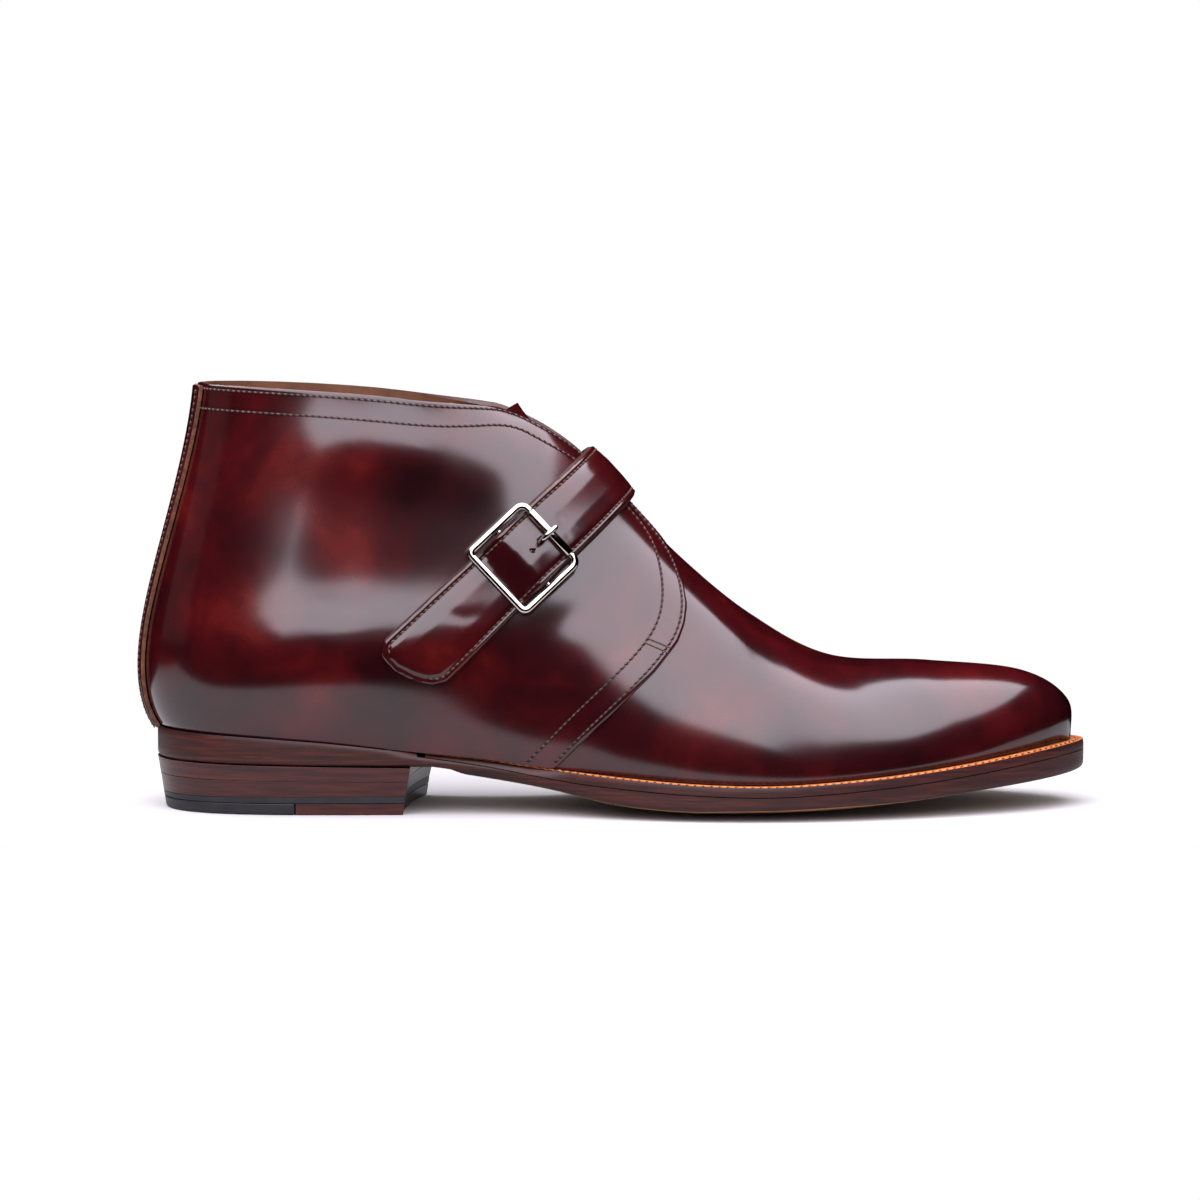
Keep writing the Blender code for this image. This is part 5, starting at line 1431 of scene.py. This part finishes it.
def make_outsole():
    """The outsole as four sheets: underside, two edges and top."""
    stations = np.sort(np.concatenate([fine_stations(0.0, 1.6), [WELT_ENDS_AT - 0.02, WELT_ENDS_AT]]))
    stations[0] = 0.0
    low, high = edge_bottom(stations), outline_column("seam", stations)
    top_share = (outsole_top(stations) - low) / (high - low)
    heights = np.array([0.0, 0.03, 0.08, 0.15, 0.3, 0.5, 0.7, 0.86, 0.96, 1.0]) * top_share[:, None]
    edges = {side: edge_points(side, stations, heights) for side in (LATERAL, MEDIAL)}
    width = np.linspace(-1, 1, 41)
    bottom = across(edges[LATERAL][:, 0], edges[MEDIAL][:, 0], (width + 1) / 2)
    belly = np.clip((np.abs(width) - BOTTOM_FLAT) / (1 - BOTTOM_FLAT), 0, 1) ** 2
    middle = np.maximum(outline_column("bottom", stations), 0.0)
    bottom[..., 2] = middle[:, None] + outline_column("cup", stations)[:, None] * belly
    flat_on_heel(bottom)
    for edge, rim in ((edges[LATERAL], bottom[:, 0]), (edges[MEDIAL], bottom[:, -1])):
        edge[:, 0] = rim
        for column, rise in ((1, 0.1), (2, 0.3), (3, 0.5)):
            edge[:, column, 2] = np.maximum(edge[:, column, 2], rim[:, 2] + rise)
    top = across(edges[MEDIAL][:, -1], edges[LATERAL][:, -1], np.linspace(0, 1, 9))
    bm = bmesh.new()
    sheet(bm, bottom, slot=1)
    sheet(bm, edges[MEDIAL])
    sheet(bm, top)
    sheet(bm, edges[LATERAL])
    finish_piece("outsole_leather", bm, ("stained sole edge", "sole bottom"), "outsole",
                 sharp=50.0)


make_outsole()

# %% [markdown]
# ### Heel
# The heel is a stack of leather lifts pinned under the seat, then a thin layer of rubber, and a tip that is
# rubber at the rear and leather at the front. The joints between lifts show as thin dark lines, so each
# lift is a closed layer of its own with its rim eased by a Bevel modifier.

# %% Heel
HEEL_TAPER = 0.16             # how far in the sides lean for each millimetre down
BREAST_STATIONS = {LATERAL: 5.05, MEDIAL: 5.3}
BREAST_HOLLOW, BREAST_LEAN = 2.0, 0.9
BREAST_ZONE = 14.0            # the last millimetres of the heel, which lean with its breast
TIP_STATION = 3.47            # where the rubber of the tip meets its leather


def heel_layer(name, material, top, bottom, node, rear=0.0, to_breast=True, ease=0.05):
    """One layer of the heel; top and bottom are its heights at the rear and at the breast."""
    front = BREAST_STATIONS if to_breast else {LATERAL: TIP_STATION, MEDIAL: TIP_STATION}
    rims = []
    for at_rear, at_breast in (top, bottom):
        inset = HEEL_TAPER * (HEEL_JOINTS[0][0] - at_rear)
        outer, inner = (inset_edge(side, np.linspace(rear, front[side], 61), np.full(61, inset))
                        for side in (LATERAL, MEDIAL))
        rim = np.concatenate([outer[::-1], inner if rear else inner[1:]])
        if to_breast:
            part = np.linspace(0, 1, 25)[1:-1, None]
            breast = rim[-1] + (rim[0] - rim[-1]) * part
            breast[:, :1] -= BREAST_HOLLOW * 4 * part * (1 - part)
            rim = np.concatenate([rim, breast])
            rim[:, 0] -= BREAST_LEAN * inset * (rim[:, 0] > HEEL_LENGTH - BREAST_ZONE)
        height = at_rear + (at_breast - at_rear) * rim[:, 0] / HEEL_LENGTH
        rims.append(np.column_stack([rim, height]))
    bm = bmesh.new()
    ring_sections(bm, np.array(rims))
    piece = finish_piece(name, bm, (material,), node, sharp=30.0)
    bevel = piece.modifiers.new("eased rim", "BEVEL")
    bevel.width, bevel.segments, bevel.limit_method = ease / 1000, 2, "ANGLE"


def between_joints(first, last, part):
    """Heights at the rear and at the breast, a part of the way from one joint of the heel to another."""
    return tuple(a + (b - a) * part for a, b in zip(HEEL_JOINTS[first], HEEL_JOINTS[last]))


heel_layer("heel_lift_1", "stacked heel", HEEL_JOINTS[0], between_joints(0, 1, 0.975), "heel_lift_upper")
heel_layer("heel_lift_2", "stacked heel", HEEL_JOINTS[1], between_joints(1, 2, 0.98), "heel_lift_lower")
heel_layer("heel_rubber_layer", "heel rubber", HEEL_JOINTS[2], between_joints(2, 3, 0.9), "heel_cap_rubber")
heel_layer("heel_tip_rear", "heel rubber", HEEL_JOINTS[3], HEEL_JOINTS[4], "heel_tip_rubber",
           to_breast=False, ease=0.3)
heel_layer("heel_tip_front", "stacked heel", HEEL_JOINTS[3], HEEL_JOINTS[4], "heel_tip_leather",
           rear=TIP_STATION + 0.02, ease=0.3)

# %% [markdown]
# ## Tongue and insole
# Both lie inside the boot, where little of them is seen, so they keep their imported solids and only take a
# material: the calf of the strap for the tongue, and the tan sock for the insole.

# %% Tongue and insole keep their solids
for node, material in (("tongue", "burgundy strap calf"), ("insole", "insole sock")):
    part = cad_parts[node]
    part.data.materials.clear()
    part.data.materials.append(bpy.data.materials[material])
    print(node, "takes", material)

# %% [markdown]
# ## Floor and light
# The boot stands on a pale board. Only its near part is under the boot, so the leather above mirrors a dark
# room between the board and the soft box, and that is what draws the dark bands on the glossy calf.

# %% Floor
BOARD_SIZE, BOARD_MIDDLE = (0.92, 0.24, 1.0), (-0.04, 0.02, -0.0002)     # metres; a hair below the heel

# matt paper that sends light back up under the sole but does not shine
_, paper = new_material("white board")
paper.inputs["Base Color"].default_value = linear("#a0a0a0")
paper.inputs["Roughness"].default_value = 0.9
paper.inputs["Specular IOR Level"].default_value = 0.1
bm = bmesh.new()
bmesh.ops.create_grid(bm, x_segments=1, y_segments=1, size=0.5)
bmesh.ops.scale(bm, vec=BOARD_SIZE, verts=bm.verts)
bmesh.ops.translate(bm, vec=BOARD_MIDDLE, verts=bm.verts)
floor = new_object("pale_board", bm, ("white board",))
floor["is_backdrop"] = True
print("the board measures", BOARD_SIZE[0], "by", BOARD_SIZE[1], "m")

# %% [markdown]
# ### Lights
# One broad soft box hangs low over the boot, from above the camera to just past the ridge. Every surface
# that tilts up even a little mirrors it. Its side over the toe is the lower one. A narrow weak box on the
# heel's side rounds the counter. The world fills the shadows but is not mirrored.

# %% Lights
def soft_box(name, low, high, width, facing, radiance, tint="#ffffff"):
    """A rectangle, from the middle of its near edge to the middle of its far one, that shines to facing."""
    low, high = Vector(low), Vector(high)
    rise = (high - low).normalized()
    away = -Vector(facing)
    away = (away - rise * away.dot(rise)).normalized()
    data = bpy.data.lights.new(name, "AREA")
    data.shape = "RECTANGLE"
    data.size, data.size_y = width, (high - low).length
    data.energy = math.pi * radiance * data.size * data.size_y
    data.color = linear(tint)[:3]
    lamp = bpy.data.objects.new(name, data)
    lamp.location = (low + high) / 2
    lamp.rotation_euler = Matrix((rise.cross(away), rise, away)).transposed().to_euler()
    bpy.context.scene.collection.objects.link(lamp)
    print(name, "throws", round(data.energy, 1), "W")


soft_box("broad_box", (0.08, -1.45, 0.365), (0.11, 0.22, 0.435), 0.87, (0.22, 0.0, -1.0), 6.8, "#fbf4ff")
soft_box("heel_side_box", (-1.3, 0.0, 0.10), (-1.3, 0.0, 0.50), 0.8, (1.0, 0.0, 0.0), 0.12)
world = bpy.data.worlds.new("studio")
bpy.context.scene.world = world
world.use_nodes = True
world.node_tree.nodes["Background"].inputs["Color"].default_value = linear("#ffffff")
world.node_tree.nodes["Background"].inputs["Strength"].default_value = 1.0
world.cycles_visibility.glossy = False
bpy.context.scene.view_settings.view_transform = "Standard"

# %% [markdown]
# ## Print the sizes
# The fine pieces must stay inside the imported solids' box, apart from a few millimetres of soft material.
# Both boxes are printed, axis by axis.

# %% Measure and finish
fine_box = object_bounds()
for name, low, high, fine_low, fine_high in zip("XYZ", *cad_box, *fine_box):
    print(name, "packed", round(low * 1000, 1), round(high * 1000, 1), "fine", round(fine_low * 1000, 1),
          round(fine_high * 1000, 1))
